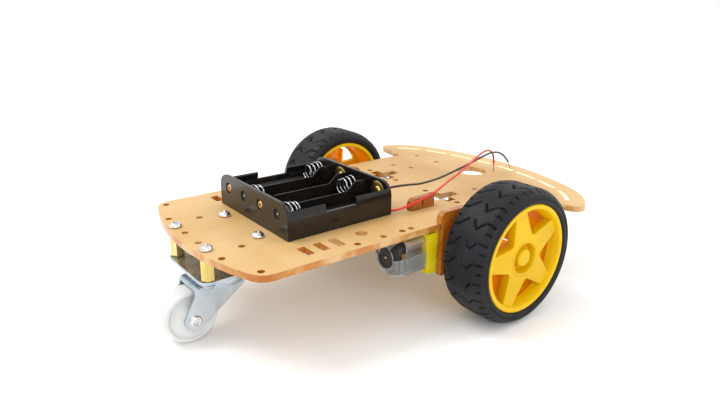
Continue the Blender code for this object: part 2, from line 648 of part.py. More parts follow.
def build_gears(frame, word):
    """The output shaft with its gear, two compound gears, and the rotor with its pinion."""
    final_low, final_high = -5.9 * MM, -2.9 * MM
    middle_low, middle_high = -2.2 * MM, 0.6 * MM
    clearance = 0.25 * MM

    shaft = rod(f"output_shaft_{word}", SHAFT_RADIUS, (0, -SHAFT_REACH, 0), (0, SHAFT_REACH, 0),
                WHITE_GEAR, frame, 16)
    for index, (low, high) in enumerate(((-SHAFT_REACH - MM, -GEARBOX_HALF_WIDTH - 1.0 * MM),
                                         (GEARBOX_HALF_WIDTH + 1.0 * MM, SHAFT_REACH + MM))):
        for sign in (1, -1):
            zs = sorted((sign * SHAFT_FLAT, sign * 4 * MM))
            cut(shaft, block(f"shaft_flat_{word}_{index}_{sign}", (-4 * MM, low, zs[0]),
                             (4 * MM, high, zs[1]), None, frame))
    final_phase = 0.0
    join(shaft, spur(f"final_gear_{word}", WHEEL_TEETH, FINAL_MODULE, final_low, final_high,
                     final_phase, 0, None, frame))

    mid = new_frame(f"mid_axis_{word}", (MID_X, 0, MID_Z), frame)
    to_mid = math.atan2(MID_Z, MID_X)
    mid_phase = mesh_phase(WHEEL_TEETH, final_phase, PINION_TEETH, to_mid)
    gear = spur(f"mid_gear_{word}", WHEEL_TEETH, MIDDLE_MODULE, middle_low, middle_high, mid_phase,
                PIN_RADIUS + clearance, WHITE_GEAR, mid)
    pinion = spur(f"mid_pinion_{word}", PINION_TEETH, FINAL_MODULE, final_low, middle_low + 0.1 * MM,
                  mid_phase, PIN_RADIUS + clearance, None, mid)
    join(gear, pinion)

    crown = new_frame(f"crown_axis_{word}", (CROWN_X, 0, 0), frame)
    to_crown = math.atan2(-MID_Z, CROWN_X - MID_X)
    crown_phase = mesh_phase(WHEEL_TEETH, mid_phase, PINION_TEETH, to_crown)
    disc_low, disc_high, tooth_low = 2.8 * MM, 4.6 * MM, 1.75 * MM
    tip, root = CROWN_RING + 0.5 * MM, CROWN_RING - 0.8 * MM
    bore = circle(0, 0, PIN_RADIUS + clearance, 8)
    disc = plate_mesh(f"crown_gear_{word}", [circle(0, 0, tip + 0.1 * MM, 24), bore],
                      disc_low, disc_high, WHITE_GEAR, crown, plane="XZ")
    join(disc, spur(f"crown_pinion_{word}", PINION_TEETH, MIDDLE_MODULE, middle_low, disc_low + 0.1 * MM,
                    crown_phase, PIN_RADIUS + clearance, None, crown))
    join(disc, plate_mesh(f"crown_teeth_{word}", [face_teeth(root, tip), circle(0, 0, root - 0.9 * MM, 16)],
                          tooth_low, disc_low + 0.1 * MM, None, crown, plane="XZ"))

    build_rotor(frame, word)


def face_teeth(root, tip):
    """The ring of face teeth, seen along the crown gear's axis: a gap faces the motor pinion."""
    pitch = math.tau / CROWN_TEETH
    points = []
    for index in range(CROWN_TEETH):
        middle = math.pi + (index + 0.5) * pitch
        points += [(radius * math.cos(middle + angle * pitch), radius * math.sin(middle + angle * pitch))
                   for radius, angle in ((root, -0.17), (tip, -0.14), (tip, 0.14), (root, 0.17))]
    return points


def build_rotor(frame, word):
    """The motor's armature and commutator on their shaft, with the pinion on its end."""
    pinion_end = CROWN_X - CROWN_RING + 0.5 * MM
    rotor = rod(f"motor_rotor_{word}", 1.0 * MM, (CAP_END + 1.2 * MM, 0, 0), (pinion_end, 0, 0),
                STEEL, frame, 10)
    armature = rod(f"armature_{word}", 6.2 * MM, (-42.5 * MM, 0, 0), (-35.0 * MM, 0, 0), None, frame, 12)
    commutator = rod(f"commutator_{word}", 2.6 * MM, (CAP_END + 3.8 * MM, 0, 0), (-42.0 * MM, 0, 0),
                     None, frame, 10)
    tooth_phase = math.pi / 2
    pinion = plate_mesh(f"motor_pinion_{word}", [gear_outline(PINION_TEETH, CROWN_MODULE, tooth_phase)],
                        -26.0 * MM, pinion_end, None, frame, plane="YZ")
    join(rotor, armature, commutator, pinion)


# ---------------------------------------------------------------- wheels

def build_wheel(frame, word):
    """A tyre on a five arm rim, and the slotted encoder disc on the shaft's other end.

    The frame is on the axle at the middle of the car, turned so that +Y is outboard.
    """
    outer, inner, rim = WHEEL_OUTER_Y, WHEEL_INNER_Y, RIM_RADIUS
    tread = [(rim + 0.3 * MM, outer - 0.6 * MM), (WHEEL_RADIUS - 2.6 * MM, outer),
             (WHEEL_RADIUS - 0.7 * MM, outer - 1.6 * MM), (WHEEL_RADIUS, outer - 4.7 * MM),
             (WHEEL_RADIUS, inner + 5.2 * MM), (WHEEL_RADIUS - 1.2 * MM, inner + 1.8 * MM),
             (WHEEL_RADIUS - 4.0 * MM, inner), (rim + 0.3 * MM, inner + 0.4 * MM)]
    turned(f"tyre_{word}", tread, RUBBER, frame, steps=36, axis="Y")
    build_rim(frame, word, outer - 0.4 * MM, inner + 1.2 * MM)
    build_encoder_disc(frame, word)


def build_rim(frame, word, face, back):
    """The rim: a flanged drum, a star of five arms, and a hub that takes the flatted shaft."""
    rim = RIM_RADIUS
    drum = [(rim, face), (rim, back), (rim - 2.0 * MM, back), (rim - 2.3 * MM, face - 3.5 * MM),
            (rim - 3.4 * MM, face - 1.2 * MM), (rim - 2.4 * MM, face)]
    piece = turned(f"wheel_rim_{word}", drum, YELLOW, frame, steps=30, axis="Y")
    star_high = face - 1.2 * MM
    star_low = star_high - 4.0 * MM
    hub_high = face - 0.4 * MM
    phase = math.radians(SPOKE_PHASE[word])
    points = []
    for arm in range(5):
        middle = phase + math.tau * arm / 5
        for radius, degrees in ((rim - 1.6 * MM, -9.5), (rim - 1.6 * MM, 9.5), (11.2 * MM, 36.0)):
            angle = middle + math.radians(degrees)
            points.append((radius * math.cos(angle), radius * math.sin(angle)))
    star = plate_mesh(f"star_{word}", [points], star_low, star_high, None, frame, plane="XZ")
    hub_inner = 54.5 * MM
    hub = rod(f"hub_{word}", 8.2 * MM, (0, star_low - 1 * MM, 0), (0, hub_high, 0), None, frame, 20)
    barrel = rod(f"barrel_{word}", 4.6 * MM, (0, hub_inner, 0), (0, star_low, 0), None, frame, 16)
    dish = rod(f"dish_{word}", 6.9 * MM, (0, hub_high - 3.8 * MM, 0), (0, hub_high + 1 * MM, 0),
               None, frame, 20)
    boss = rod(f"boss_{word}", 4.3 * MM, (0, star_low, 0), (0, hub_high - 1.2 * MM, 0), None, frame, 16)
    socket = rod(f"socket_{word}", SHAFT_RADIUS + 0.1 * MM, (0, hub_inner - MM, 0),
                 (0, MOTOR_Y + SHAFT_REACH + 1 * MM, 0), None, frame, 16)
    for sign in (1, -1):
        zs = sorted((sign * (SHAFT_FLAT + 0.1 * MM), sign * 4 * MM))
        cut(socket, block(f"socket_flat_{word}_{sign}", (-4 * MM, hub_inner - 2 * MM, zs[0]),
                          (4 * MM, MOTOR_Y + SHAFT_REACH + 2 * MM, zs[1]), None, frame))
    join(piece, star, hub, barrel)
    cut(piece, dish)
    join(piece, boss)
    cut(piece, socket)


def build_encoder_disc(frame, word):
    """A 20 slot disc with a flatted bore."""
    slots, inner, outer = 20, 8.6 * MM, 12.0 * MM
    outlines = [circle(0.0, 0.0, 13.0 * MM, 24)]
    for index in range(slots):
        middle = math.tau * index / slots
        half = 0.22 * math.tau / slots
        outlines.append([(radius * math.cos(middle + angle), radius * math.sin(middle + angle))
                         for radius, angle in ((inner, -half * 1.2), (outer, -half),
                                               (outer, half), (inner, half * 1.2))])
    low = 23.9 * MM
    disc = plate_mesh(f"encoder_disc_{word}", outlines, low, low + 1.6 * MM, BLACK, frame, plane="XZ")
    hub = rod(f"disc_hub_{word}", 4.4 * MM, (0, 23.0 * MM, 0), (0, 27.6 * MM, 0), None, frame, 16)
    bore = rod(f"disc_bore_{word}", SHAFT_RADIUS + 0.1 * MM, (0, 22 * MM, 0), (0, 29 * MM, 0),
               None, frame, 16)
    for sign in (1, -1):
        zs = sorted((sign * (SHAFT_FLAT + 0.1 * MM), sign * 4 * MM))
        cut(bore, block(f"disc_flat_{word}_{sign}", (-4 * MM, 21 * MM, zs[0]),
                        (4 * MM, 30 * MM, zs[1]), None, frame))
    cut(join(disc, hub), bore)


# ---------------------------------------------------------------- battery holder

def holder_section():
    """The holder's cross-section: curved side walls and cell troughs with low crests between them."""
    half = HOLDER_WIDTH / 2
    pitch = (HOLDER_WIDTH - 2.4 * MM) / 4
    radius = pitch / 2
    floor = 1.2 * MM
    crown = floor + radius
    wall = 1.2 * MM
    reach = math.radians(28.0)
    outer = [(half - radius - wall + (radius + wall) * math.cos(a), crown + (radius + wall) * math.sin(a))
             for a in [reach * step / 4 for step in range(5)]]
    inner = []
    for cell in range(4):
        middle = half - wall - radius - cell * pitch
        first = reach if cell == 0 else math.radians(-42.0)
        last = math.pi - reach if cell == 3 else math.pi + math.radians(42.0)
        last = last - math.tau
        steps = 7
        for step in range(steps + 1):
            angle = first + (last - first) * step / steps
            inner.append((middle + radius * math.cos(angle), crown + radius * math.sin(angle)))
    right = [(half, 0.0)] + outer
    left = [(-u, v) for u, v in reversed(right)]
    return right + inner + left


def build_holder(frame):
    """The battery holder: a troughed tray between two end walls, with thin dividers that step up."""
    x0, x1 = HOLDER_X, HOLDER_X + HOLDER_LENGTH
    wall = 1.5 * MM
    base = PLATE_TOP + GAP
    tray_frame = new_frame("holder_middle", (0, HOLDER_Y, base), frame)
    holder = plate_mesh("battery_holder", [holder_section()], x0 + wall / 2, x1 - wall / 2, BLACK,
                        tray_frame, plane="YZ")
    half = HOLDER_WIDTH / 2
    end_shape = rounded([(-half, 0, 0), (half, 0, 0), (half, HOLDER_HEIGHT, 6.5 * MM),
                         (-half, HOLDER_HEIGHT, 6.5 * MM)], 4)
    tail_wall = plate_mesh("holder_tail_wall", [end_shape], x0, x0 + wall, None, tray_frame, plane="YZ")
    front_wall = plate_mesh("holder_front_wall", [end_shape], x1 - wall, x1, None, tray_frame, plane="YZ")
    join(holder, tail_wall, front_wall)
    pitch = (HOLDER_WIDTH - 2.4 * MM) / 4
    for index in (-1, 0, 1):
        v = index * pitch
        outline = [(x0 + 12 * MM, 1 * MM), (x1 - wall / 2, 1 * MM), (x1 - wall / 2, 14.1 * MM),
                   (x1 - 9.2 * MM, 14.1 * MM), (x1 - 14.2 * MM, 9.9 * MM), (x0 + 12 * MM, 9.9 * MM)]
        rib = plate_mesh(f"divider_{index}", [outline], v - DIVIDER_THICKNESS / 2,
                         v + DIVIDER_THICKNESS / 2, None, tray_frame, plane="XZ")
        join(holder, rib)
    for side in (1, -1):
        vs = sorted((side * (half - 8 * MM), side * (half + 2 * MM)))
        notch = block(f"thumb_notch_{side}", (x0 + 20 * MM, vs[0], 9.2 * MM),
                      (x0 + 37 * MM, vs[1], HOLDER_HEIGHT + MM), None, tray_frame)
        cut(holder, notch)
    for cell in range(4):
        v = half - 1.2 * MM - pitch * (cell + 0.5)
        cut(holder, rod(f"contact_recess_{cell}", 2.7 * MM, (x0 - MM, v, CONTACT_Z),
                        (x0 + 0.7 * MM, v, CONTACT_Z), None, tray_frame, 12))
    for label, v, z in (("red", RED_ROUTE[0][1] * MM - HOLDER_Y, RED_ROUTE[0][2] * MM - base),
                        ("black", BLACK_ROUTE[0][1] * MM - HOLDER_Y, BLACK_ROUTE[0][2] * MM - base)):
        outlet = rod(f"{label}_outlet", LEAD_RADIUS + 0.35 * MM, (x1 - 4 * MM, v, z), (x1 + MM, v, z),
                     None, tray_frame, 10)
        cut(holder, outlet)
    build_springs(tray_frame, x0 + wall, x1 - wall, half, pitch)


def build_springs(frame, tail, front, half, pitch):
    """Four contact springs: two at each end, in alternate cells."""
    turns, per_turn, wire, length = 4, 8, 0.35 * MM, 7.0 * MM
    places = ((0, front - 2.4 * MM, -1), (1, tail, 1), (2, front - 2.4 * MM, -1), (3, tail, 1))
    for number, (cell, start, sign) in enumerate(places, start=1):
        v = half - 1.2 * MM - pitch * (cell + 0.5)
        points = []
        for step in range(turns * per_turn + 1):
            share = step / (turns * per_turn)
            radius = (5.0 - 0.8 * share) * MM
            angle = math.tau * turns * share
            points.append((start + sign * (GAP + wire + length * share),
                           v + radius * math.cos(angle), CONTACT_Z + radius * math.sin(angle)))
        tube(f"battery_spring_{number}", points, wire, STEEL, frame, resolution=0)


def build_leads(frame):
    for name, route, material in (("battery_lead_red", RED_ROUTE, RED_WIRE),
                                  ("battery_lead_black", BLACK_ROUTE, BLACK_WIRE)):
        tube(name, smooth_route(route, 4.2 * MM), LEAD_RADIUS, material, frame)


# ---------------------------------------------------------------- caster

def build_caster(frame):
    """The mounting plate with its kingpin on four standoffs, and the fork that swivels on it."""
    plate_top = PLATE_LOW - STANDOFF_LENGTH - 2 * GAP
    plate_low = plate_top - 1.5 * MM
    axis = new_frame("caster_axis", (CASTER_X, 0, 0), frame)
    corners = ((CASTER_HOLE_X, CASTER_HOLE_Y), (-CASTER_HOLE_X, CASTER_HOLE_Y),
               (-CASTER_HOLE_X, -CASTER_HOLE_Y), (CASTER_HOLE_X, -CASTER_HOLE_Y))
    for number, (x, y) in enumerate(corners, start=1):
        standoff = outline_plate(f"caster_standoff_{number}",
                                 [circle(0, 0, STANDOFF_RADIUS, 6), circle(0, 0, 1.7 * MM, 10)],
                                 -STANDOFF_LENGTH / 2, STANDOFF_LENGTH / 2, BRASS, axis)
        standoff.location = (x, y, plate_top + GAP + STANDOFF_LENGTH / 2)
        build_screw(f"deck_screw_{number}", axis, (x, y, PLATE_TOP + GAP), (0, 0, -1), 8.0 * MM)
        build_screw(f"caster_bolt_{number}", axis, (x, y, plate_low - GAP), (0, 0, 1), 5.0 * MM, ZINC)

    shape = rounded([(16 * MM, 19 * MM, 4 * MM), (-16 * MM, 19 * MM, 4 * MM),
                     (-16 * MM, -19 * MM, 4 * MM), (16 * MM, -19 * MM, 4 * MM)])
    holes = [circle(x, y, M3_CLEARANCE, 10) for x, y in corners]
    top_plate = plate_mesh("caster_top_plate", [shape] + holes, plate_low, plate_top, ZINC, axis)
    race = turned("upper_race", [(11.8 * MM, plate_low + 0.4 * MM), (10.9 * MM, plate_low - 3.3 * MM),
                                 (9.4 * MM, plate_low - 3.3 * MM), (9.4 * MM, plate_low + 0.4 * MM)],
                  None, axis, steps=18)
    crown_top = plate_low - 4.6 * MM
    crown_low = crown_top - 1.5 * MM
    pin_low = crown_low - 1.7 * MM
    kingpin = turned("kingpin", [(0.0, plate_low + 0.7 * MM), (2.4 * MM, plate_low + 0.7 * MM),
                                 (2.4 * MM, crown_low - 0.4 * MM), (4.2 * MM, crown_low - 0.4 * MM),
                                 (3.2 * MM, pin_low), (0.0, pin_low)], None, axis, steps=12)
    join(top_plate, race, kingpin)
    build_fork(axis, crown_low, crown_top)


def build_fork(axis, crown_low, crown_top):
    """The pressed fork, its wheel and the riveted axle, all turning on the kingpin."""
    inner, outer = 7.4 * MM, 8.9 * MM
    tail, nose = -15.6 * MM, 8.0 * MM
    crown = circle(0, 0, 12.6 * MM, 24)
    disc = plate_mesh("caster_fork", [crown], crown_low, crown_top, ZINC, axis)
    skin = 0.15 * MM
    lip = tail + 2 * skin
    bend = rounded([(nose - 0.6 * MM, crown_low + skin, 0), (nose - 0.6 * MM, crown_top - skin, 0),
                    (lip, crown_top - skin, 1.9 * MM), (lip, crown_low - 0.7 * MM, 0),
                    (lip + 1.4 * MM, crown_low - 0.7 * MM, 0), (lip + 1.4 * MM, crown_low + skin, 0)])
    join(disc, plate_mesh("fork_bridge", [bend], -8.2 * MM, 8.2 * MM, None, axis, plane="XZ"))
    trail, axle_z = CASTER_TRAIL, CASTER_RADIUS
    boss = 5.0 * MM
    around = [(-trail + boss * math.cos(math.radians(a)), axle_z + boss * math.sin(math.radians(a)))
              for a in (-40, -65, -90, -115, -140, -165, 170)]
    leg_top = crown_top - 3 * skin
    top = rounded([(tail, crown_low - 2.5 * MM, 0), (tail, leg_top, 3 * MM), (nose, leg_top, 0),
                   (nose, crown_low - 2.1 * MM, 0), (nose - 3.3 * MM, crown_low - 4.5 * MM, 0)])
    leg = (top + around)[::-1]
    for sign in (1, -1):
        ys = sorted((sign * inner, sign * outer))
        side_plate = plate_mesh(f"fork_leg_{sign}", [leg, circle(-trail, axle_z, 1.75 * MM, 10)],
                                ys[0], ys[1], None, axis, plane="XZ")
        join(disc, side_plate)
    cut(disc, rod("kingpin_hole", 2.7 * MM, (0, 0, crown_low - 4 * MM), (0, 0, crown_top + MM),
                  None, axis, 12))
    spindle = new_frame("caster_wheel_axis", (-trail, 0, axle_z), axis)
    radius, half = CASTER_RADIUS, 5.2 * MM
    side = [(1.85 * MM, 7.0 * MM), (4.6 * MM, 7.0 * MM), (5.2 * MM, half - 0.8 * MM),
            (9.8 * MM, half - 0.9 * MM), (10.5 * MM, half), (radius - 0.5 * MM, half - 0.3 * MM),
            (radius, 0.6 * half)]
    turned("caster_wheel", side + [(r, -y) for r, y in reversed(side)], NYLON, spindle, steps=24, axis="Y")
    head = outer + GAP
    turned("caster_axle", [(0.0, head + 1.1 * MM), (1.7 * MM, head + 1.1 * MM), (2.9 * MM, head + 0.5 * MM),
                           (2.9 * MM, head), (1.6 * MM, head), (1.6 * MM, -head), (2.9 * MM, -head),
                           (2.9 * MM, -head - 0.5 * MM), (1.7 * MM, -head - 1.1 * MM),
                           (0.0, -head - 1.1 * MM)], STEEL, spindle, steps=10, axis="Y")


# ---------------------------------------------------------------- the whole car

def build_car():
    car = new_frame("wheel_axle_on_ground", (AXLE_X, 0, 0))
    build_chassis(car)
    for word, side in (("left", 1), ("right", -1)):
        outer_face = MOTOR_Y + GEARBOX_HALF_WIDTH + GAP
        inner_face = MOTOR_Y - GEARBOX_HALF_WIDTH - GAP - BRACKET_THICKNESS
        build_bracket(word, "outer", car, side, outer_face)
        build_bracket(word, "inner", car, side, inner_face)
        build_motor_fasteners(car, side, word)
        turn = (0, 0, 0) if side > 0 else (math.pi, 0, 0)
        motor = new_frame(f"motor_{word}", (0, side * MOTOR_Y, WHEEL_RADIUS), car, turn)
        build_gearbox(motor, word)
        build_motor(motor, word)
        build_gears(motor, word)
        turn = (0, 0, 0) if side > 0 else (0, 0, math.pi)
        axle = new_frame(f"axle_{word}", (0, 0, WHEEL_RADIUS), car, turn)
        build_wheel(axle, word)
    build_holder(car)
    build_leads(car)
    build_caster(car)
    bpy.context.view_layer.update()


build_car()
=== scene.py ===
"""Looks for the two wheel robot car: camera, finishes, cords, detailed pieces, light and floor."""
import math

import bmesh
import bpy
import numpy as np
from mathutils import Matrix, Vector


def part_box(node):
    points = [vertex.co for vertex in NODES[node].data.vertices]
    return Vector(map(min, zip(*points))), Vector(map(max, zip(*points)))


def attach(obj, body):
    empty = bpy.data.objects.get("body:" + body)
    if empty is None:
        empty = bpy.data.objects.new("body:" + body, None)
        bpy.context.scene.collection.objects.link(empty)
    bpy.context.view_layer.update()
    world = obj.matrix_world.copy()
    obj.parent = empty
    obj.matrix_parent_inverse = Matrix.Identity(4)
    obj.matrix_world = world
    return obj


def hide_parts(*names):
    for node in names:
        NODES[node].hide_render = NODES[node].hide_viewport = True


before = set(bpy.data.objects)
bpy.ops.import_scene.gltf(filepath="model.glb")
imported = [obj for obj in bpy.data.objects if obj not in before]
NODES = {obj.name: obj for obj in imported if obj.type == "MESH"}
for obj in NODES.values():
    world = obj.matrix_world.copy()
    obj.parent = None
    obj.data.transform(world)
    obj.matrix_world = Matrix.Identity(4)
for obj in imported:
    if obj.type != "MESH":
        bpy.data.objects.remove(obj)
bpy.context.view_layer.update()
MM = 0.001
AXLE_X = 31.65 * MM  # the driving wheels' axle
AXLE_Z = 33.0 * MM
SIDES = (("left", 1), ("right", -1))


# ---------------------------------------------------------------- camera

CAMERA_PLACE = (-0.18931, -0.23798, 0.15066)
CAMERA_FORWARD = (0.58306, 0.74206, -0.33074)
CAMERA_UP = (0.19474, 0.26757, 0.94365)
CAMERA_LENS = 30.88


def make_camera():
    """A camera at the photograph's viewing angle."""
    data = bpy.data.cameras.new("camera")
    data.lens = CAMERA_LENS
    data.sensor_width = 36.0
    data.clip_start = 0.01
    data.clip_end = 50.0
    camera = bpy.data.objects.new("camera", data)
    bpy.context.scene.collection.objects.link(camera)
    forward = Vector(CAMERA_FORWARD).normalized()
    right = forward.cross(Vector(CAMERA_UP)).normalized()
    turn = Matrix((right, right.cross(forward), -forward)).transposed()
    camera.matrix_world = Matrix.Translation(CAMERA_PLACE) @ turn.to_4x4()
    bpy.context.scene.camera = camera


make_camera()


# ---------------------------------------------------------------- materials

def linear(display):
    """A colour's display values, from 0 to 255, as linear ones."""
    return tuple(v / 255 / 12.92 if v / 255 <= 0.04045 else ((v / 255 + 0.055) / 1.055) ** 2.4
                 for v in display)


class Graph:
    """A material's nodes, with short calls to add and link them."""

    def __init__(self, name):
        self.material = bpy.data.materials.new(name)
        self.material.use_nodes = True
        self.tree = self.material.node_tree
        self.shader = self.tree.nodes["Principled BSDF"]

    def node(self, kind, inputs=(), **settings):
        made = self.tree.nodes.new("ShaderNode" + kind)
        for key, value in settings.items():
            setattr(made, key, value)
        for key, value in dict(inputs).items():
            if isinstance(value, bpy.types.NodeSocket):
                self.tree.links.new(value, made.inputs[key])
            else:
                made.inputs[key].default_value = value
        return made

    def set(self, key, value):
        if isinstance(value, bpy.types.NodeSocket):
            self.tree.links.new(value, self.shader.inputs[key])
        else:
            self.shader.inputs[key].default_value = value

    def math(self, operation, first, second=0.0):
        return self.node("Math", {0: first, 1: second}, operation=operation).outputs[0]

    def split(self, vector):
        return self.node("SeparateXYZ", {"Vector": vector}).outputs

    def distance(self, first, second):
        """How far the point (first, second) is from zero."""
        point = self.node("CombineXYZ", {"X": first, "Y": second}).outputs[0]
        return self.node("VectorMath", {0: point}, operation="LENGTH").outputs["Value"]

    def place(self, stretch=(1, 1, 1)):
        where = self.node("TexCoord").outputs["Object"]
        return self.node("Mapping", {"Vector": where, "Scale": stretch}).outputs[0]

    def noise(self, place, scale, detail=4.0, distortion=0.0):
        return self.node("TexNoise", {"Vector": place, "Scale": scale, "Detail": detail,
                                      "Distortion": distortion}).outputs["Fac"]

    def ramp(self, factor, colours, low=0.3, high=0.7):
        made = self.node("ValToRGB", {"Fac": factor})
        elements = made.color_ramp.elements
        for index, colour in enumerate(colours):
            spot = low + (high - low) * index / (len(colours) - 1)
            element = elements[index] if index < 2 else elements.new(spot)
            element.position = spot
            element.color = (*linear(colour), 1.0)
        return made.outputs["Color"]

    def span(self, value, from_low, from_high, to_low, to_high):
        limits = {"From Min": from_low, "From Max": from_high, "To Min": to_low, "To Max": to_high}
        return self.node("MapRange", {"Value": value, **limits}).outputs[0]

    def mix(self, factor, first, second):
        """A blend of two colours: sockets 6, 7 and 2 are the ones a Mix node keeps for them."""
        made = self.node("Mix", {"Factor": factor, 6: first, 7: second}, data_type="RGBA")
        return made.outputs[2]

    def relief(self, height, depth, strength, soft=0.0):
        """A fine relief, and edges that shade as if rounded by the radius soft."""
        inputs = {"Height": height, "Distance": depth, "Strength": strength}
        if soft:
            inputs["Normal"] = self.node("Bevel", {"Radius": soft}, samples=4).outputs[0]
        self.set("Normal", self.node("Bump", inputs).outputs[0])


def surface(name, colours, rough=(0.3, 0.42), metallic=0.0, patch=90.0, grain=2500.0, depth=0.02,
            stretch=(1, 1, 1), soft=0.0, transmission=0.0, ior=1.5, coat=0.0, specular=0.5):
    """A finish with patchy colour and roughness, and a fine grain in its colour and relief.

    Colours are display values, depth is the grain's in millimetres, and soft rounds the edges.
    """
    graph = Graph(name)
    place = graph.place(stretch)
    patches = graph.noise(place, patch, 5.0, 0.3)
    specks = graph.noise(place, grain, 3.0)
    blend = graph.math("ADD", patches, graph.span(specks, 0, 1, -0.125, 0.125))
    graph.set("Base Color", graph.ramp(blend, colours))
    graph.set("Roughness", graph.span(graph.noise(place, patch * 3.1, 6.0), 0.3, 0.7, *rough))
    graph.set("Metallic", metallic)
    graph.set("IOR", ior)
    graph.set("Specular IOR Level", specular)
    graph.set("Transmission Weight", transmission)
    graph.set("Coat Weight", coat)
    graph.set("Coat Roughness", 0.12)
    graph.relief(specks, depth * MM, 0.7, soft)
    return graph.material


BUMPER_CENTRE_X = AXLE_X - 67.0 * MM  # the middle of the bumper edge's arcs
ZINC_TONES = [(136, 149, 164), (174, 186, 195), (206, 212, 216)]


def deck_film(graph, blend, along, bumper):
    """The film's colour: a little deeper towards the front, and paler along the bumper edge."""
    rear = graph.ramp(blend, [(190, 150, 92), (199, 162, 106), (208, 174, 124)])
    front = graph.ramp(blend, [(180, 141, 86), (190, 153, 98), (199, 165, 115)])
    edge = graph.ramp(blend, [(200, 162, 108), (212, 178, 128)])
    film = graph.mix(graph.span(along, -10 * MM, 70 * MM, 0.0, 1.0), rear, front)
    return graph.mix(graph.span(bumper, 128 * MM, 139 * MM, 0.0, 1.0), film, edge)


def deck_slot_painted_glow(graph, bumper, across):
    """How strongly the bumper edge's slot walls get a painted glow: none past the slots' ends."""
    inner = graph.span(bumper, 132 * MM, 133 * MM, 0.0, 1.0)
    outer = graph.span(bumper, 139.4 * MM, 140.2 * MM, 1.0, 0.0)
    tips = graph.span(across, 67.4 * MM, 68.0 * MM, 0.85, 0.0)
    return graph.math("MULTIPLY", graph.math("MULTIPLY", inner, outer), tips)


def deck_finish():
    """Tan protective film on the faces of clear amber sheet, whose cut edges show the sheet.

    The cut edges are amber behind the axle and painted paler in front of it, as painted light for
    the light that comes through them there, and the bumper edge's slot walls get a painted glow.
    """
    graph = Graph("deck_film_on_amber_sheet_painted_light")
    place = graph.place()
    spot = graph.split(place)
    normal = graph.split(graph.node("NewGeometry").outputs["Normal"])
    face = graph.math("GREATER_THAN", graph.math("ABSOLUTE", normal["Z"]), 0.5)
    cut = graph.math("SUBTRACT", 1.0, face)
    bumper = graph.distance(graph.math("SUBTRACT", spot["X"], BUMPER_CENTRE_X), spot["Y"])
    fibres = graph.noise(graph.place((1.0, 0.35, 1.0)), 1900.0, 4.0)
    blend = graph.math("ADD", graph.noise(place, 22.0, 6.0, 0.4),
                       graph.span(fibres, 0.2, 0.8, -0.12, 0.12))
    film = deck_film(graph, blend, spot["X"], bumper)
    amber = graph.ramp(graph.noise(place, 85.0, 3.0),
                       [(180, 102, 24), (194, 130, 56), (216, 176, 122)], 0.36, 0.66)
    # Painted light: the cut edges in front of the axle are coloured paler, for the light that
    # comes through the sheet there.
    clear = graph.ramp(graph.noise(place, 160.0, 4.0), [(222, 166, 96), (238, 196, 138)])
    forward = graph.span(spot["X"], AXLE_X + 8 * MM, AXLE_X + 40 * MM, 0.0, 1.0)
    light = deck_slot_painted_glow(graph, bumper, graph.math("ABSOLUTE", spot["Y"]))
    graph.set("Base Color", graph.mix(face, graph.mix(forward, amber, clear), film))
    graph.set("Roughness", graph.span(face, 0.0, 1.0, 0.16, 0.5))
    graph.set("Transmission Weight",
              graph.math("MULTIPLY", cut, graph.span(forward, 0.0, 1.0, 0.15, 0.3)))
    # Painted light: the slot walls along the bumper edge glow, standing in for glints of light in
    # the clear sheet.
    graph.set("Emission Color", graph.ramp(fibres, [(250, 232, 206), (255, 248, 236)]))
    graph.set("Emission Strength", graph.math("MULTIPLY", cut, light))
    graph.set("Specular IOR Level", 0.45)
    graph.relief(fibres, 0.012 * MM, 0.5, 0.25 * MM)
    return graph.material


def zinc_with_painted_race_shade():
    """Blue zinc plate whose race, below the plate, is coloured darker as painted shade."""
    graph = Graph("zinc_plate_with_painted_race_shade")
    place = graph.place()
    patches = graph.noise(graph.place((1, 1, 0.4)), 70.0, 5.0, 0.3)
    plate_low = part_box("caster_top_plate")[1].z - 1.5 * MM
    height = graph.split(graph.node("NewGeometry").outputs["Position"])["Z"]
    # Painted shade: the race under the plate is coloured darker, for the shadow in the groove
    # there.
    below = graph.span(height, plate_low - 0.5 * MM, plate_low - 0.1 * MM, 1.0, 0.0)
    race = graph.ramp(patches, [(58, 66, 78), (110, 120, 134)])
    graph.set("Base Color", graph.mix(below, graph.ramp(patches, ZINC_TONES), race))
    graph.set("Metallic", 1.0)
    graph.set("Roughness", graph.span(graph.noise(place, 220.0, 5.0), 0.3, 0.7, 0.2, 0.4))
    graph.relief(graph.noise(place, 2600.0, 3.0), 0.02 * MM, 0.7, 0.25 * MM)
    return graph.material


def rim_finish():
    """Yellow moulded plastic, a paler outer ring, and a painted orange glow of bounced light in
    the cup.
    """
    graph = Graph("yellow_rim_plastic_painted_cup_glow")
    place = graph.place()
    spot = graph.split(place)
    patches = graph.noise(place, 60.0, 5.0)
    bright = graph.ramp(patches, [(204, 162, 0), (212, 169, 0), (219, 177, 2)])
    ring = graph.ramp(patches, [(216, 174, 0), (226, 184, 2)])
    # Painted light: the cup is coloured deeper orange and made to glow faintly, for light bounced
    # round it.
    deep = graph.ramp(patches, [(244, 150, 0), (250, 162, 0)])
    out = graph.distance(spot["X"], spot["Z"])
    moulding = graph.mix(graph.span(out, 21.5 * MM, 23.5 * MM, 0.0, 1.0), bright, ring)
    cup = graph.math("MULTIPLY", graph.span(spot["Y"], 59.5 * MM, 63 * MM, 0.0, 1.0),
                     graph.span(spot["Y"], 70 * MM, 78 * MM, 1.0, 0.0))
    graph.set("Base Color", graph.mix(cup, moulding, deep))
    # Painted light: the cup's faint glow.
    graph.set("Emission Color", graph.ramp(patches, [(250, 168, 0), (255, 182, 0)]))
    graph.set("Emission Strength", graph.span(cup, 0.0, 1.0, 0.0, 0.12))
    graph.set("Roughness", graph.span(graph.noise(place, 240.0, 4.0), 0.3, 0.7, 0.26, 0.36))
    graph.set("Specular IOR Level", 0.18)
    graph.relief(graph.noise(place, 1400.0, 3.0), 0.02 * MM, 0.5, 0.3 * MM)
    return graph.material


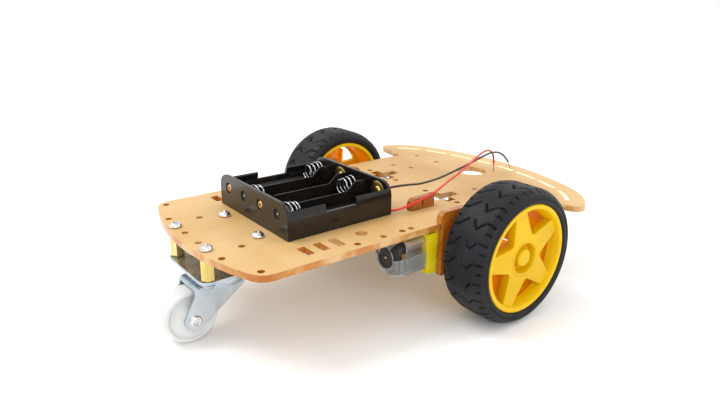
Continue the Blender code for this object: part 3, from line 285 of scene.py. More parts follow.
FILM = deck_finish()
RIM = rim_finish()
ZINC_RACE_SHADE = zinc_with_painted_race_shade()
BRACKET = surface("brown_bracket_sheet", [(138, 72, 14), (164, 92, 22), (190, 118, 44)],
                  (0.2, 0.34), patch=120.0, depth=0.01, soft=0.25 * MM, transmission=0.12,
                  coat=0.3)
CHROME = surface("bright_screw_steel", [(196, 196, 198), (222, 222, 222), (236, 235, 232)],
                 (0.12, 0.26), 1.0, 300.0, 4000.0, 0.01)
NUT_STEEL = surface("nut_steel", [(188, 188, 190), (222, 222, 222)], (0.2, 0.34), 1.0, 400.0,
                    3000.0, 0.01, soft=0.2 * MM)
SPRING = surface("spring_wire", [(168, 168, 170), (214, 214, 216)], (0.14, 0.28), 1.0, 500.0,
                 5000.0, 0.01)
BRASS = surface("brass_standoff", [(190, 166, 96), (210, 188, 116), (230, 212, 150)],
                (0.2, 0.36), 1.0, 260.0, 3500.0, 0.015, stretch=(1, 1, 0.08), soft=0.2 * MM)
CONTACT = surface("contact_brass", [(188, 152, 82), (224, 196, 126)], (0.22, 0.4), 1.0, 500.0,
                  4000.0)
ZINC = surface("blue_zinc", ZINC_TONES, (0.2, 0.4), 1.0, 70.0, 2600.0, stretch=(1, 1, 0.4),
               soft=0.25 * MM)
CAN = surface("motor_can_steel", [(196, 194, 188), (214, 211, 204), (230, 227, 220)],
              (0.32, 0.46), 1.0, 90.0, 3000.0, 0.015, stretch=(0.1, 1, 1), soft=0.3 * MM)
CASE = surface("clear_yellow_case", [(234, 206, 8), (245, 221, 16), (253, 235, 42)],
               (0.16, 0.3), patch=110.0, depth=0.015, soft=0.35 * MM, transmission=0.25, ior=1.46)
BLACK = surface("black_moulding", [(16, 15, 15), (24, 22, 22), (33, 31, 30)], (0.34, 0.5),
                patch=150.0, grain=3200.0, depth=0.03, soft=0.25 * MM, specular=0.35)
HOLDER = surface("holder_plastic", [(14, 11, 9), (20, 17, 14), (29, 24, 20)], (0.2, 0.34),
                 patch=70.0, grain=1700.0, depth=0.03, soft=0.45 * MM, specular=0.36, coat=0.15)
STRAP = surface("clear_strap", [(236, 240, 240), (248, 250, 250)], (0.05, 0.12), patch=80.0,
                depth=0.008, transmission=0.9, ior=1.42, soft=0.2 * MM)
NYLON = surface("white_nylon", [(196, 199, 198), (208, 210, 209), (219, 220, 219)],
                (0.3, 0.44), patch=70.0, grain=1500.0, soft=0.3 * MM)
GEAR = surface("gear_plastic", [(214, 212, 202), (228, 226, 218)], (0.36, 0.5), patch=200.0,
               soft=0.1 * MM)
RUBBER = surface("tyre_rubber", [(13, 13, 16), (18, 19, 23), (27, 28, 34)], (0.42, 0.58),
                 patch=60.0, grain=1300.0, depth=0.05, specular=0.24)
RED = surface("red_insulation", [(196, 30, 28), (214, 42, 38)], patch=160.0)
DARK = surface("black_insulation", [(18, 17, 18), (32, 30, 31)], (0.3, 0.44), patch=160.0)
TINNED = surface("tinned_wire", [(150, 122, 100), (196, 178, 160)], (0.25, 0.4), 1.0, 600.0,
                 3000.0, 0.03, stretch=(1, 1, 0.3))
# Painted shade: a near black finish for thin discs laid on the floors of the holder's round
# recesses.
SHADOW = surface("painted_recess_shade", [(9, 8, 8), (16, 15, 14)], (0.5, 0.7), patch=300.0)


# ---------------------------------------------------------------- piece helpers

def new_piece(name, mesh, material, body, smooth=35.0):
    """A piece on a body, smooth-shaded where its faces meet at less than smooth degrees."""
    piece = bpy.data.objects.new(name, mesh)
    bpy.context.scene.collection.objects.link(piece)
    if not mesh.materials:
        mesh.materials.append(material)
    if smooth:
        mesh.shade_smooth()
        mesh.set_sharp_from_angle(angle=math.radians(smooth))
    piece["body"] = body
    return piece


def settle(piece, *nodes):
    """Fixes a placed piece to its body, in place of the CAD nodes named."""
    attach(piece, piece["body"])
    if nodes:
        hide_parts(*nodes)
    return piece


def mesh_from(shape, name):
    """A mesh from a bmesh, which isn't used again."""
    mesh = bpy.data.meshes.new(name)
    shape.to_mesh(mesh)
    shape.free()
    return mesh


def final_mesh(thing):
    """An object's mesh, with its modifiers and its curve's bevel applied."""
    bpy.context.view_layer.update()
    graph = bpy.context.evaluated_depsgraph_get()
    return bpy.data.meshes.new_from_object(thing.evaluated_get(graph))


def half_turn(wanted):
    """Half a turn about Z if it is wanted, or none."""
    return Matrix.Rotation(math.pi if wanted else 0, 4, "Z")


def circle(radius, steps):
    """(u, v) points of a circle."""
    angles = [math.tau * i / steps for i in range(steps)]
    return [(radius * math.cos(angle), radius * math.sin(angle)) for angle in angles]


def add_sides(shape, first, second):
    """Joins two rings of as many points with faces."""
    for k in range(len(first)):
        after = (k + 1) % len(first)
        shape.faces.new((first[k], first[after], second[after], second[k]))


def revolve(profile, steps, axis="Y", closed=True):
    """A mesh from (radius, height) points in millimetres, turned about an axis."""
    shape = bmesh.new()
    rings = []
    for radius, height in profile:
        ring = circle(radius * MM, steps) if radius else [(0, 0)]
        rings.append([shape.verts.new((u, v, height * MM)) for u, v in ring])
    pairs = list(zip(rings, rings[1:])) + ([(rings[-1], rings[0])] if closed else [])
    for first, second in pairs:
        for i in range(steps):
            j = (i + 1) % steps
            loop = [first[i % len(first)], first[j % len(first)],
                    second[j % len(second)], second[i % len(second)]]
            loop = list(dict.fromkeys(loop))
            if len(loop) > 2:
                shape.faces.new(loop)
    bmesh.ops.recalc_face_normals(shape, faces=shape.faces)
    shape.transform({"X": Matrix.Rotation(math.pi / 2, 4, "Y"), "Z": Matrix.Identity(4),
                     "Y": Matrix.Rotation(-math.pi / 2, 4, "X")}[axis])
    return mesh_from(shape, "turned")


def flat_mesh(outlines, low, high, bevel, plane="XY"):
    """A mesh from 2D outlines, the first one the edge, with rounded-off edges."""
    curve = bpy.data.curves.new("flat", "CURVE")
    curve.dimensions = "2D"
    curve.fill_mode = "BOTH"
    curve.extrude = (high - low) / 2 - bevel
    curve.bevel_depth = bevel
    curve.bevel_resolution = 2
    curve.offset = -bevel
    for outline in outlines:
        spline = curve.splines.new("POLY")
        spline.points.add(len(outline) - 1)
        for point, (u, v) in zip(spline.points, outline):
            point.co = (u, v, 0.0, 1.0)
        spline.use_cyclic_u = True
    holder = bpy.data.objects.new("flat", curve)
    bpy.context.scene.collection.objects.link(holder)
    mesh = final_mesh(holder)
    bpy.data.objects.remove(holder)
    mesh.transform(Matrix.Translation((0, 0, (low + high) / 2)))
    if plane == "XZ":
        mesh.transform(Matrix(((1, 0, 0, 0), (0, 0, 1, 0), (0, 1, 0, 0), (0, 0, 0, 1))))
        mesh.flip_normals()
    return mesh


def rounded(corners, steps=6):
    """An outline from (u, v, radius) corners, with steps spans to each corner's arc."""
    outline = []
    for index, (u, v, radius) in enumerate(corners):
        here = Vector((u, v))
        before = (Vector(corners[index - 1][:2]) - here).normalized()
        after = (Vector(corners[(index + 1) % len(corners)][:2]) - here).normalized()
        half = before.angle(after) / 2
        centre = here + (before + after).normalized() * (radius / math.sin(half))
        first = here + before * (radius / math.tan(half)) - centre
        last = here + after * (radius / math.tan(half)) - centre
        sweep = first.angle_signed(last)
        for step in range(steps + 1):
            spoke = first.copy()
            spoke.rotate(Matrix.Rotation(-sweep * step / steps, 2))
            outline.append(tuple(centre + spoke))
    return outline


def wire(name, points, radius, material, resolution):
    """A round wire through points, on the chassis."""
    curve = bpy.data.curves.new(name, "CURVE")
    curve.dimensions = "3D"
    curve.bevel_depth = radius
    curve.bevel_resolution = resolution
    curve.use_fill_caps = True
    spline = curve.splines.new("POLY")
    spline.points.add(len(points) - 1)
    for point, place in zip(spline.points, points):
        point.co = (*place, 1.0)
    spline.use_smooth = True
    curve.materials.append(material)
    piece = bpy.data.objects.new(name, curve)
    bpy.context.scene.collection.objects.link(piece)
    piece["body"] = "chassis"
    return piece


def smooth_route(route, spacing):
    """Points about one spacing apart on a smooth curve through a route given in millimetres."""
    knots = [Vector(point) * MM for point in route]
    knots = [2 * knots[0] - knots[1]] + knots + [2 * knots[-1] - knots[-2]]
    points = []
    for before, start, end, after in zip(knots, knots[1:], knots[2:], knots[3:]):
        count = max(1, round((end - start).length / spacing))
        for step in range(count):
            t = step / count
            points.append(0.5 * (2 * start + (end - before) * t
                                 + (2 * before - 5 * start + 4 * end - after) * t * t
                                 + (3 * start - before - 3 * end + after) * t ** 3))
    points.append(knots[-2])
    return points


# ---------------------------------------------------------------- cords

# Points along each lead in millimetres, from the holder to its free end, X from the axle.
RED_ROUTE = [
    (-37.6, -28.0, 49.1), (-36.3, -29.8, 49.6), (-33.9, -32.1, 50.7), (-26.8, -33.1, 52.1),
    (-15.1, -33.0, 54.4), (-7.0, -30.8, 55.6), (2.0, -28.0, 57.0), (14.0, -24.2, 58.4),
    (26.0, -20.4, 60.6), (37.0, -16.9, 62.9), (45.0, -14.3, 63.4), (51.0, -12.4, 62.1),
    (55.0, -11.2, 59.3), (57.0, -10.6, 55.6), (57.6, -10.5, 51.8), (57.6, -10.5, 48.9)]
BLACK_ROUTE = [
    (-37.6, -24.0, 58.9), (-34.5, -24.4, 59.3), (-30.0, -25.2, 59.4), (-23.0, -25.0, 58.7),
    (-14.0, -24.2, 57.5), (0.0, -21.9, 57.0), (14.0, -19.7, 57.9), (28.0, -17.5, 59.2),
    (40.0, -15.6, 60.7), (49.0, -14.2, 61.4), (57.0, -13.0, 60.4), (63.6, -12.0, 57.4),
    (69.0, -11.1, 53.2), (72.0, -10.7, 49.6), (72.5, -10.6, 48.9)]
LEAD_RADIUS = 0.55 * MM
CORE_RADIUS = 0.3 * MM
BARE_LENGTH = 4.2 * MM
BARE_EXTRA = 0.75 * MM  # how far the bare end reaches past the route
CORE_OVERLAP = 0.5 * MM  # how far the core goes back into the insulation


def strip_end(points, bare_length):
    """Takes the bare length off the end of points, and returns it, from the insulation on."""
    bare = [points[-1] - Vector((0, 0, BARE_EXTRA))]
    left = bare_length
    while left > 0:
        end = points[-1]
        step = (end - points[-2]).length
        if step > left:
            points[-1] = end + (points[-2] - end) * (left / step)
            bare += [end, points[-1]]
            left = 0
        else:
            bare.append(points.pop())
            left -= step
    return bare[::-1]


def make_leads():
    """The two battery leads, each with a bare tinned tip."""
    shift = Vector((AXLE_X, 0, 0))
    for word, route, finish in (("red", RED_ROUTE, RED), ("black", BLACK_ROUTE, DARK)):
        points = [point + shift for point in smooth_route(route, 1.6 * MM)]
        bare = strip_end(points, BARE_LENGTH)
        lead = wire(f"lead_{word}", points, LEAD_RADIUS, finish, 5)
        settle(lead, f"battery_lead_{word}")
        inside = bare[0] + (points[-2] - bare[0]).normalized() * CORE_OVERLAP
        tip = wire(f"lead_{word}_tinned_tip", [inside] + bare, CORE_RADIUS, TINNED,
                   3)
        settle(tip)


make_leads()


# ---------------------------------------------------------------- the CAD pieces that stay

def finish_nodes(material, *names):
    """Gives CAD nodes their finish."""
    for name in names:
        mesh = NODES[name].data
        mesh.materials.clear()
        mesh.materials.append(material)


finish_nodes(FILM, "chassis_plate")
finish_nodes(HOLDER, "battery_holder")
finish_nodes(ZINC_RACE_SHADE, "caster_top_plate")
finish_nodes(ZINC, "caster_fork")
finish_nodes(BRASS, *[f"caster_standoff_{i}" for i in range(1, 5)])
for word, _ in SIDES:
    finish_nodes(BRACKET, f"motor_bracket_{word}_outer", f"motor_bracket_{word}_inner")
    finish_nodes(NUT_STEEL, f"motor_nut_{word}_upper", f"motor_nut_{word}_lower")
    finish_nodes(CASE, f"gearbox_case_{word}", f"gearbox_cover_{word}")
    finish_nodes(CAN, f"motor_can_{word}", f"motor_rotor_{word}")
    finish_nodes(BLACK, f"encoder_disc_{word}")
    finish_nodes(GEAR, f"output_shaft_{word}", f"mid_gear_{word}", f"crown_gear_{word}")


# ---------------------------------------------------------------- tyres

TYRE_RADIUS = 33.0  # all the tyre's sizes are in millimetres
GROOVE_DEPTH = 1.0
TREAD_REPEATS = 22
STEPS_PER_REPEAT = 22


def tyre_section():
    """(radius, height, groove share) round the tyre's section, the height from its middle.

    The tread is level in the middle and curves down to each shoulder. The groove share says how
    deep the tread's grooves may be at that height.
    """
    inner = [(26.5, -11.6, 0), (27.2, -12.2, 0), (28.4, -12.45, 0), (29.6, -12.3, 0),
             (30.6, -11.8, 0), (31.5, -11.0, 0.3), (32.1, -10.2, 1)]
    inner += [(TYRE_RADIUS - (0.9 * ((-5.6 - y) / 4.2) ** 2 if y < -5.6 else 0.0), y, 1)
              for y in np.arange(-9.8, -5.2, 0.42)]
    middle = [(TYRE_RADIUS, y, 1) for y in np.arange(-5.0, 6.6, 0.4)]
    outer = [(TYRE_RADIUS - 1.5 * ((y - 6.4) / 4.4) ** 2, y, 1) for y in np.arange(6.8, 11.0, 0.4)]
    outer += [(31.3, 11.2, 0.4), (30.8, 11.8, 0), (30.2, 12.2, 0), (29.5, 12.4, 0),
              (29.2, 12.4, 0), (29.0, 12.1, 0), (28.7, 12.1, 0), (28.5, 12.4, 0), (28.0, 12.5, 0),
              (27.3, 12.4, 0), (26.8, 12.1, 0), (26.5, 11.6, 0)]
    return inner + middle + outer + [(26.4, 0.0, 0)]


def groove_lines(pitch):
    """Groove centrelines in one tread repeat: (u, v) points round and across, and a width."""
    half = pitch / 2
    return [((0.0, -11.0), (0.5, -7.0), 0.8), ((0.5, -7.0), (4.4, -3.2), 0.8),
            ((half, -10.9), (half + 0.3, -8.6), 0.7),
            ((4.5, 0.2), (0.9, 3.2), 0.75), ((0.9, 3.2), (4.3, 6.0), 0.75),
            ((half + 0.4, 7.2), (half - 0.1, 10.8), 0.8),
            ((half - 4.0, 8.8), (half - 4.3, 10.9), 0.65)]


def tyre_mesh():
    """A tyre with its tread cut into the surface, on the Y axis, +Y outboard."""
    section = np.array(tyre_section())
    steps = TREAD_REPEATS * STEPS_PER_REPEAT
    pitch = math.tau * TYRE_RADIUS / TREAD_REPEATS
    u = np.arange(steps) * (TREAD_REPEATS * pitch / steps)
    uu, vv = np.meshgrid(u % pitch, section[:, 1], indexing="ij")
    depth = np.zeros_like(uu)
    for (u0, v0), (u1, v1), width in groove_lines(pitch):
        for shift in (-pitch, 0.0, pitch):
            du, dv = u1 - u0, v1 - v0
            t = np.clip(((uu - u0 - shift) * du + (vv - v0) * dv) / (du * du + dv * dv), 0, 1)
            away = np.hypot(uu - u0 - shift - t * du, vv - v0 - t * dv)
            depth = np.maximum(depth, np.clip((width / 2 + 0.24 - away) / 0.36, 0, 1))
    depth = depth * depth * (3 - 2 * depth) * section[:, 2]
    radius = (section[:, 0] - GROOVE_DEPTH * depth) * MM
    angle = (np.arange(steps) * math.tau / steps)[:, None]
    height = np.broadcast_to(section[:, 1] * MM, radius.shape)
    points = np.stack([radius * np.cos(angle), height, radius * np.sin(angle)], -1).reshape(-1, 3)
    across = len(section)
    i, j = np.meshgrid(np.arange(steps), np.arange(across), indexing="ij")
    ni, nj = (i + 1) % steps, (j + 1) % across
    faces = np.stack([i * across + j, i * across + nj, ni * across + nj, ni * across + j], -1)
    mesh = bpy.data.meshes.new("tyre")
    mesh.from_pydata(points.tolist(), [], faces.reshape(-1, 4).tolist())
    mesh.materials.append(RUBBER)
    return mesh


# ---------------------------------------------------------------- rims

RIM_FACE = 82.1  # all the rim's sizes are in millimetres, heights from the middle of the car
RIM_BACK = 54.6
ARMS = 5
ARM_PHASE = {"left": 14.0, "right": 5.0}  # degrees
ARM_REACH = 23.9
ARM_HALF_WIDTH = 8.6  # degrees, at the arm's end
HOLLOW_REACH = 11.0
STAR_BORE = 7.9  # the round hole in the middle of the star, which the hub fills


def polar(radius, degrees):
    """The (u, v) point at a radius and an angle."""
    return (radius * math.cos(math.radians(degrees)), radius * math.sin(math.radians(degrees)))


def star_outline(phase):
    """Tapering arms with rounded hollows between them, in metres."""
    corners = []
    for arm in range(ARMS):
        middle = phase + 360 / ARMS * arm
        corners += [(*polar(ARM_REACH, middle - ARM_HALF_WIDTH), 0.4),
                    (*polar(ARM_REACH, middle + ARM_HALF_WIDTH), 0.4),
                    (*polar(HOLLOW_REACH, middle + 180 / ARMS), 1.9)]
    return [(u * MM, v * MM) for u, v in rounded(corners)]


def drum_mesh():
    """The wheel's band under the tyre, with a stepped lip at its face."""
    face = RIM_FACE
    profile = [(26.3, face - 0.5), (26.3, 58.8), (26.0, 58.7), (24.5, 58.7), (24.2, 59.0),
               (23.7, face - 7.0), (23.4, face - 6.6), (22.6, face - 6.4), (22.4, face - 6.0),
               (22.5, face - 5.6), (22.9, face - 5.0), (23.1, face - 3.2), (23.5, face - 2.4),
               (23.8, face - 1.2), (24.1, face - 0.5), (24.6, face - 0.1), (25.2, face),
               (25.8, face - 0.1)]
    return revolve(profile, 96)


def hub_mesh():
    """The hub: a raised collar round a boss, and a tube that reaches back to the gearbox."""
    face, back = RIM_FACE, RIM_BACK
    profile = [(0.0, face - 1.9), (3.4, face - 1.9), (4.0, face - 2.1), (4.3, face - 2.6),
               (4.5, face - 5.4), (4.9, face - 5.9), (6.4, face - 5.9), (6.9, face - 5.4),
               (7.2, face - 2.6), (7.5, face - 1.8), (7.9, face - 1.5), (8.4, face - 1.5),
               (8.8, face - 1.8), (9.0, face - 2.3), (9.0, face - 6.2), (8.4, face - 8.0),
               (4.6, face - 8.6), (4.6, back + 0.4), (4.2, back), (2.9, back), (2.9, back + 2.4),
               (0.0, back + 2.4)]
    return revolve(profile, 64, closed=False)


def rib_mesh(phase):
    """Two straight ribs behind each arm, that come together a little towards the band."""
    shape = bmesh.new()
    for arm in range(ARMS):
        turn = Matrix.Rotation(math.radians(phase + 360 / ARMS * arm), 2)
        for offset in (-2.2, 2.2):
            corners = [turn @ Vector(corner) for corner in (
                (9.0, offset - 0.55), (21.0, offset * 0.8 - 0.55),
                (21.0, offset * 0.8 + 0.55), (9.0, offset + 0.55))]
            front, back = ([shape.verts.new((corner.x * MM, y * MM, corner.y * MM))
                            for corner in corners] for y in (RIM_FACE - 6.0, 66.0))
            add_sides(shape, front, back)
            shape.faces.new(back)
    bmesh.ops.recalc_face_normals(shape, faces=shape.faces)
    return mesh_from(shape, "ribs")


def rim_pieces(word, side):
    """The moulded rim: a band, a five-armed star in its mouth, its ribs and the hub."""
    phase = ARM_PHASE[word]
    star = flat_mesh([star_outline(phase), circle(STAR_BORE * MM, 60)], (RIM_FACE - 6.4) * MM,
                     (RIM_FACE - 1.9) * MM, 0.4 * MM, "XZ")
    made = [new_piece(f"rim_{label}_{word}", mesh, RIM, f"wheel_{word}", 32.0)
            for label, mesh in (("drum", drum_mesh()), ("star", star), ("hub", hub_mesh()),
                                ("ribs", rib_mesh(phase)))]
    for piece in made:
        piece.matrix_world = Matrix.Translation((AXLE_X, 0, AXLE_Z)) @ half_turn(side < 0)
    settle(made[0], f"wheel_rim_{word}")
    for piece in made[1:]:
        settle(piece)


TYRE = tyre_mesh()
TYRE_Y = 70.0 * MM
for word, side in SIDES:
    tyre = new_piece(f"tread_tyre_{word}", TYRE, RUBBER, f"wheel_{word}", 50.0)
    tyre.matrix_world = (Matrix.Translation((AXLE_X, side * TYRE_Y, AXLE_Z))
                         @ half_turn(side < 0))
    settle(tyre, f"tyre_{word}")
    rim_pieces(word, side)


# ---------------------------------------------------------------- screws, springs and contacts

THREAD_PITCH = 0.5  # the screws' sizes are in millimetres
CAD_HEAD_HEIGHT = 1.9


def cross_mesh():
    """The two arms of a cross recess, which are shorter at the bottom."""
    shape = bmesh.new()
    length, width = 2.9, 0.62
    for u, v in ((width, length), (length, width)):
        rings = []
        for z, share in ((2.4, 1.05), (0.75, 0.55)):
            half_u = u / 2 * (share if u == length else 1.0)
            half_v = v / 2 * (share if v == length else 1.0)
            rings.append([shape.verts.new((a * half_u * MM, b * half_v * MM, z * MM))
                          for a, b in ((-1, -1), (1, -1), (1, 1), (-1, 1))])
        add_sides(shape, *rings)
        shape.faces.new(rings[0])
        shape.faces.new(rings[1][::-1])
    bmesh.ops.recalc_face_normals(shape, faces=shape.faces)
    return mesh_from(shape, "recess")


def screw_mesh(shank):
    """A pan head screw with a cross recess and a threaded shank, head up, seat at zero."""
    profile = [(0.0, 1.95), (1.0, 1.9), (1.9, 1.66), (2.45, 1.25), (2.76, 0.7), (2.85, 0.3),
               (2.8, 0.05), (2.6, 0.0), (1.25, 0.0)]
    for turn in range(int(shank / THREAD_PITCH)):
        z = -THREAD_PITCH * turn
        profile += [(1.22, z - 0.1), (1.42, z - 0.28), (1.22, z - 0.45)]
    profile += [(1.0, -shank), (0.0, -shank)]
    screw = bpy.data.objects.new("screw", revolve(profile, 28, "Z", closed=False))
    cutter = bpy.data.objects.new("recess", cross_mesh())
    for thing in (screw, cutter):
        bpy.context.scene.collection.objects.link(thing)
    cut = screw.modifiers.new("recess", "BOOLEAN")
    cut.operation = "DIFFERENCE"
    cut.solver = "EXACT"
    cut.use_self = True
    cut.object = cutter
    made = final_mesh(screw)
    bpy.data.objects.remove(screw)
    bpy.data.objects.remove(cutter)
    return made


def place_screw(name, mesh, node, down, turn, material):
    """A screw in the place of its CAD node, whose box gives its seat."""
    low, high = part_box(node)
    down = Vector(down)
    reach = Vector([abs(value) for value in down]).dot(high - low) / 2
    seat = (low + high) / 2 - down * (reach - CAD_HEAD_HEIGHT * MM)
    head_out = (-down).to_track_quat("Z", "Y").to_matrix().to_4x4()
    piece = new_piece(name, mesh, material, "chassis", 40.0)
    piece.matrix_world = (Matrix.Translation(seat) @ head_out
                          @ Matrix.Rotation(math.radians(turn), 4, "Z"))
    settle(piece, node)


DECK_SCREW, CASTER_SCREW, BRACKET_SCREW = (screw_mesh(shank) for shank in (8.0, 5.0, 29.1))
for number in range(1, 5):
    place_screw(f"deck_pan_screw_{number}", DECK_SCREW, f"deck_screw_{number}", (0, 0, -1),
                17 + 53 * number, CHROME)
    place_screw(f"caster_pan_screw_{number}", CASTER_SCREW, f"caster_bolt_{number}", (0, 0, 1),
                31 * number, ZINC)
for word, side in SIDES:
    for number, level in enumerate(("upper", "lower")):
        place_screw(f"bracket_screw_{word}_{level}", BRACKET_SCREW, f"motor_bolt_{word}_{level}",
                    (0, -side, 0), 22 + 47 * number, CHROME)

CELLS = range(4)
CELL_PITCH = 15.025 * MM
SPRINGS_AT_FRONT = (0, 2)  # the cells whose springs are at the front end of the holder
HOLDER_LOW, HOLDER_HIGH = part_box("battery_holder")
CELL_Y = [(HOLDER_LOW.y + HOLDER_HIGH.y) / 2 + (1.5 - cell) * CELL_PITCH for cell in CELLS]
CONTACT_Z = HOLDER_LOW.z + 9.9 * MM
WALL = 1.5 * MM
FRONT_STEP = 2.6 * MM  # how much thicker the front wall is behind its springs
SPRING_WIRE_RADIUS = 0.32 * MM


def spring_points(cell):
    """A conical coil with closed turns at both ends, from the wall towards the cell."""
    at_front = cell in SPRINGS_AT_FRONT
    sign = -1 if at_front else 1
    start = HOLDER_HIGH.x - WALL - FRONT_STEP if at_front else HOLDER_LOW.x + WALL
    turns, steps_per_turn = 3.8, 24
    base_turns, open_turns = 0.6, 2.8
    base_rise, open_rise, end_rise = 0.7 * MM, 6.8 * MM, 0.3 * MM
    points = []
    for step in range(int(turns * steps_per_turn) + 1):
        turn = step / steps_per_turn
        share = min(1.0, max(0.0, (turn - base_turns) / open_turns))
        radius = (4.5 - 1.0 * share) * MM
        along = (base_rise * min(turn, base_turns) / base_turns + open_rise * share
                 + end_rise * max(0.0, turn - base_turns - open_turns))
        angle = math.tau * turn + cell + 1
        points.append(Vector((start + sign * (0.65 * MM + along),
                              CELL_Y[cell] + radius * math.cos(angle),
                              CONTACT_Z + radius * math.sin(angle))))
    return points


for cell in CELLS:
    coil = wire(f"contact_spring_{cell + 1}", spring_points(cell), SPRING_WIRE_RADIUS,
                SPRING, 3)
    settle(coil, f"battery_spring_{cell + 1}")


def contact(name, cell, x, facing, profile, material=CONTACT):
    """A turned contact or rivet on one cell's own line along X, facing +X or -X."""
    mesh = revolve(profile, 36, "X", closed=False)
    piece = new_piece(f"{name}_{cell}", mesh, material, "chassis")
    piece.matrix_world = Matrix.Translation((x, CELL_Y[cell], CONTACT_Z)) @ half_turn(facing < 0)
    settle(piece)


# (radius, height) profiles in millimetres, each one's height towards the side it faces.
RIVET = [(0.0, -0.2), (0.7, -0.2), (0.75, 0.35), (0.95, 0.5), (1.45, 0.45), (1.75, 0.25),
         (1.85, 0.0), (1.85, -0.4), (0.0, -0.4)]
PIN = [(0.0, 0.3), (0.45, 0.3), (0.6, 0.15), (0.65, -0.3), (0.0, -0.3)]
BUTTON = [(0.0, 1.0), (1.6, 1.0), (2.0, 0.8), (2.15, 0.3), (2.3, 0.15), (4.6, 0.1), (4.8, 0.0),
          (4.8, -0.3), (0.0, -0.3)]
RECESS = [(0.0, 0.12), (2.3, 0.12), (2.62, 0.2), (2.66, 0.0), (0.0, -0.1)]
RECESS_X = HOLDER_LOW.x + 0.7 * MM  # the floor of the round recesses in the tail end wall
for cell in CELLS:
    # Painted shade: a thin dark disc on the floor of each round recess in the tail end wall.
    contact("recess_painted_shade_disc", cell, RECESS_X - 0.02 * MM, -1, RECESS, SHADOW)
    if cell in SPRINGS_AT_FRONT:
        contact("tail_rivet", cell, RECESS_X - 0.15 * MM, -1, RIVET)
        contact("tail_button", cell, HOLDER_LOW.x + WALL, 1, BUTTON)
    else:
        contact("tail_pin", cell, RECESS_X - 0.15 * MM, -1, PIN, SPRING)
        contact("front_button", cell, HOLDER_HIGH.x - WALL, -1, BUTTON)
        contact("front_rivet", cell, HOLDER_HIGH.x + 0.1 * MM, 1, RIVET)


# ---------------------------------------------------------------- motor trim

def joined(name, parts, material, body):
    """One piece from several meshes, each with its own matrix."""
    shape = bmesh.new()
    for mesh, matrix in parts:
        extra = bmesh.new()
        extra.from_mesh(mesh)
        extra.transform(matrix)
        shape.from_mesh(mesh_from(extra, "part"))
    return new_piece(name, mesh_from(shape, name), material, body)


CAP_FLAT = 7.6  # from the motor's axis to the end cap's flat sides, in millimetres
CAP_CENTRE = {}  # the middle of each end cap's back face
for word, _ in SIDES:
    low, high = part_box(f"motor_end_cap_{word}")
    CAP_CENTRE[word] = Vector((low.x, (low.y + high.y) / 2, (low.z + high.z) / 2))


def terminal_mesh():
    """A thin tab with rounded corners and a hole for its wire, standing on the XY plane."""
    edge = rounded([(-0.9 * MM, 0, 0.05 * MM), (0.9 * MM, 0, 0.05 * MM),
                    (1.2 * MM, 3.2 * MM, 0.5 * MM), (-1.2 * MM, 3.2 * MM, 0.5 * MM)])
    hole = [(u, 2.3 * MM + v) for u, v in circle(0.4 * MM, 12)]
    mesh = flat_mesh([edge, hole], 0, 0.3 * MM, 0.06 * MM)
    mesh.transform(Matrix.Rotation(math.pi / 2, 4, "X"))
    return mesh


for word, _ in SIDES:
    tab = terminal_mesh()
    places = [Vector((4.1, hand * (CAP_FLAT + 0.05), 0.4)) * MM for hand in (-1, 1)]
    tabs = joined(f"motor_terminals_{word}",
                  [(tab, Matrix.Translation(CAP_CENTRE[word] + place) @ half_turn(place.y > 0))
                   for place in places], CONTACT, "chassis")
    settle(tabs)
    post = revolve([(0.0, 0.4), (0.6, 0.4), (0.85, 0.2), (0.95, -0.2), (0.0, -0.2)], 24, "X",
                   closed=False)
    bush = joined(f"motor_rear_bush_{word}",
                  [(post, Matrix.Translation(CAP_CENTRE[word]) @ half_turn(True))],
                  TINNED, "chassis")
    settle(bush)


STRAP_REACH = 10.3  # the strap's sizes are in millimetres, this one from the motor's axis
STRAP_FLAT = 7.95
STRAP_CORNER = 5.4
STRAP_LENGTH = 23.0
STRAP_BORE = 5.3  # the round hole in its back face


def cap_mesh():
    """The black end cap: a rounded cup with two flats and a raised collar, back face at zero."""
    profile = [(1.3, 0.0), (4.0, 0.0), (4.25, 0.25), (4.3, 0.7), (6.4, 0.8), (8.0, 1.15),
               (9.0, 1.9), (9.55, 3.0), (9.7, 4.2), (9.7, 5.35), (7.0, 5.35), (7.0, 3.5),
               (1.3, 3.5)]
    mesh = revolve(profile, 64, "X")
    for vertex in mesh.vertices:
        vertex.co.y = max(-CAP_FLAT * MM, min(CAP_FLAT * MM, vertex.co.y))
    return mesh


def strap_mesh():
    """The clear strap: a round-cornered trough under the motor and a band over it, with a window.

    Its back face is at zero and it runs along +X. Rows are stations along it, columns go round
    it, and pull is how far a row is drawn in by the rounded back corner.
    """
    stations = [STRAP_CORNER * (1 - math.cos(math.radians(angle))) for angle in range(0, 91, 10)]
    stations += [STRAP_CORNER + (STRAP_LENGTH - STRAP_CORNER) * step / 8 for step in range(1, 9)]
    columns = 64
    shape = bmesh.new()
    rows = []
    for station in stations:
        short = max(0.0, STRAP_CORNER - station)
        pull = STRAP_CORNER - math.sqrt(STRAP_CORNER ** 2 - short ** 2)
        side = STRAP_FLAT - 0.35 * pull
        rows.append([shape.verts.new((station * MM, max(-side, min(side, y)) * MM, z * MM))
                     for y, z in circle(STRAP_REACH - pull, columns)])
    bore = [shape.verts.new((0, y, z)) for y, z in circle(STRAP_BORE * MM, columns)]
    for first, second in zip([bore] + rows, rows):
        for column in range(columns):
            after = (column + 1) % columns
            middle = math.tau * (column + 0.5) / columns
            window = math.sin(middle) > 0.08 and abs(math.cos(middle)) > 0.52
            if first is bore or not window:
                shape.faces.new((first[column], first[after], second[after], second[column]))
    bmesh.ops.delete(shape, geom=[v for v in shape.verts if not v.link_faces], context="VERTS")
    bmesh.ops.recalc_face_normals(shape, faces=shape.faces)
    return mesh_from(shape, "strap")


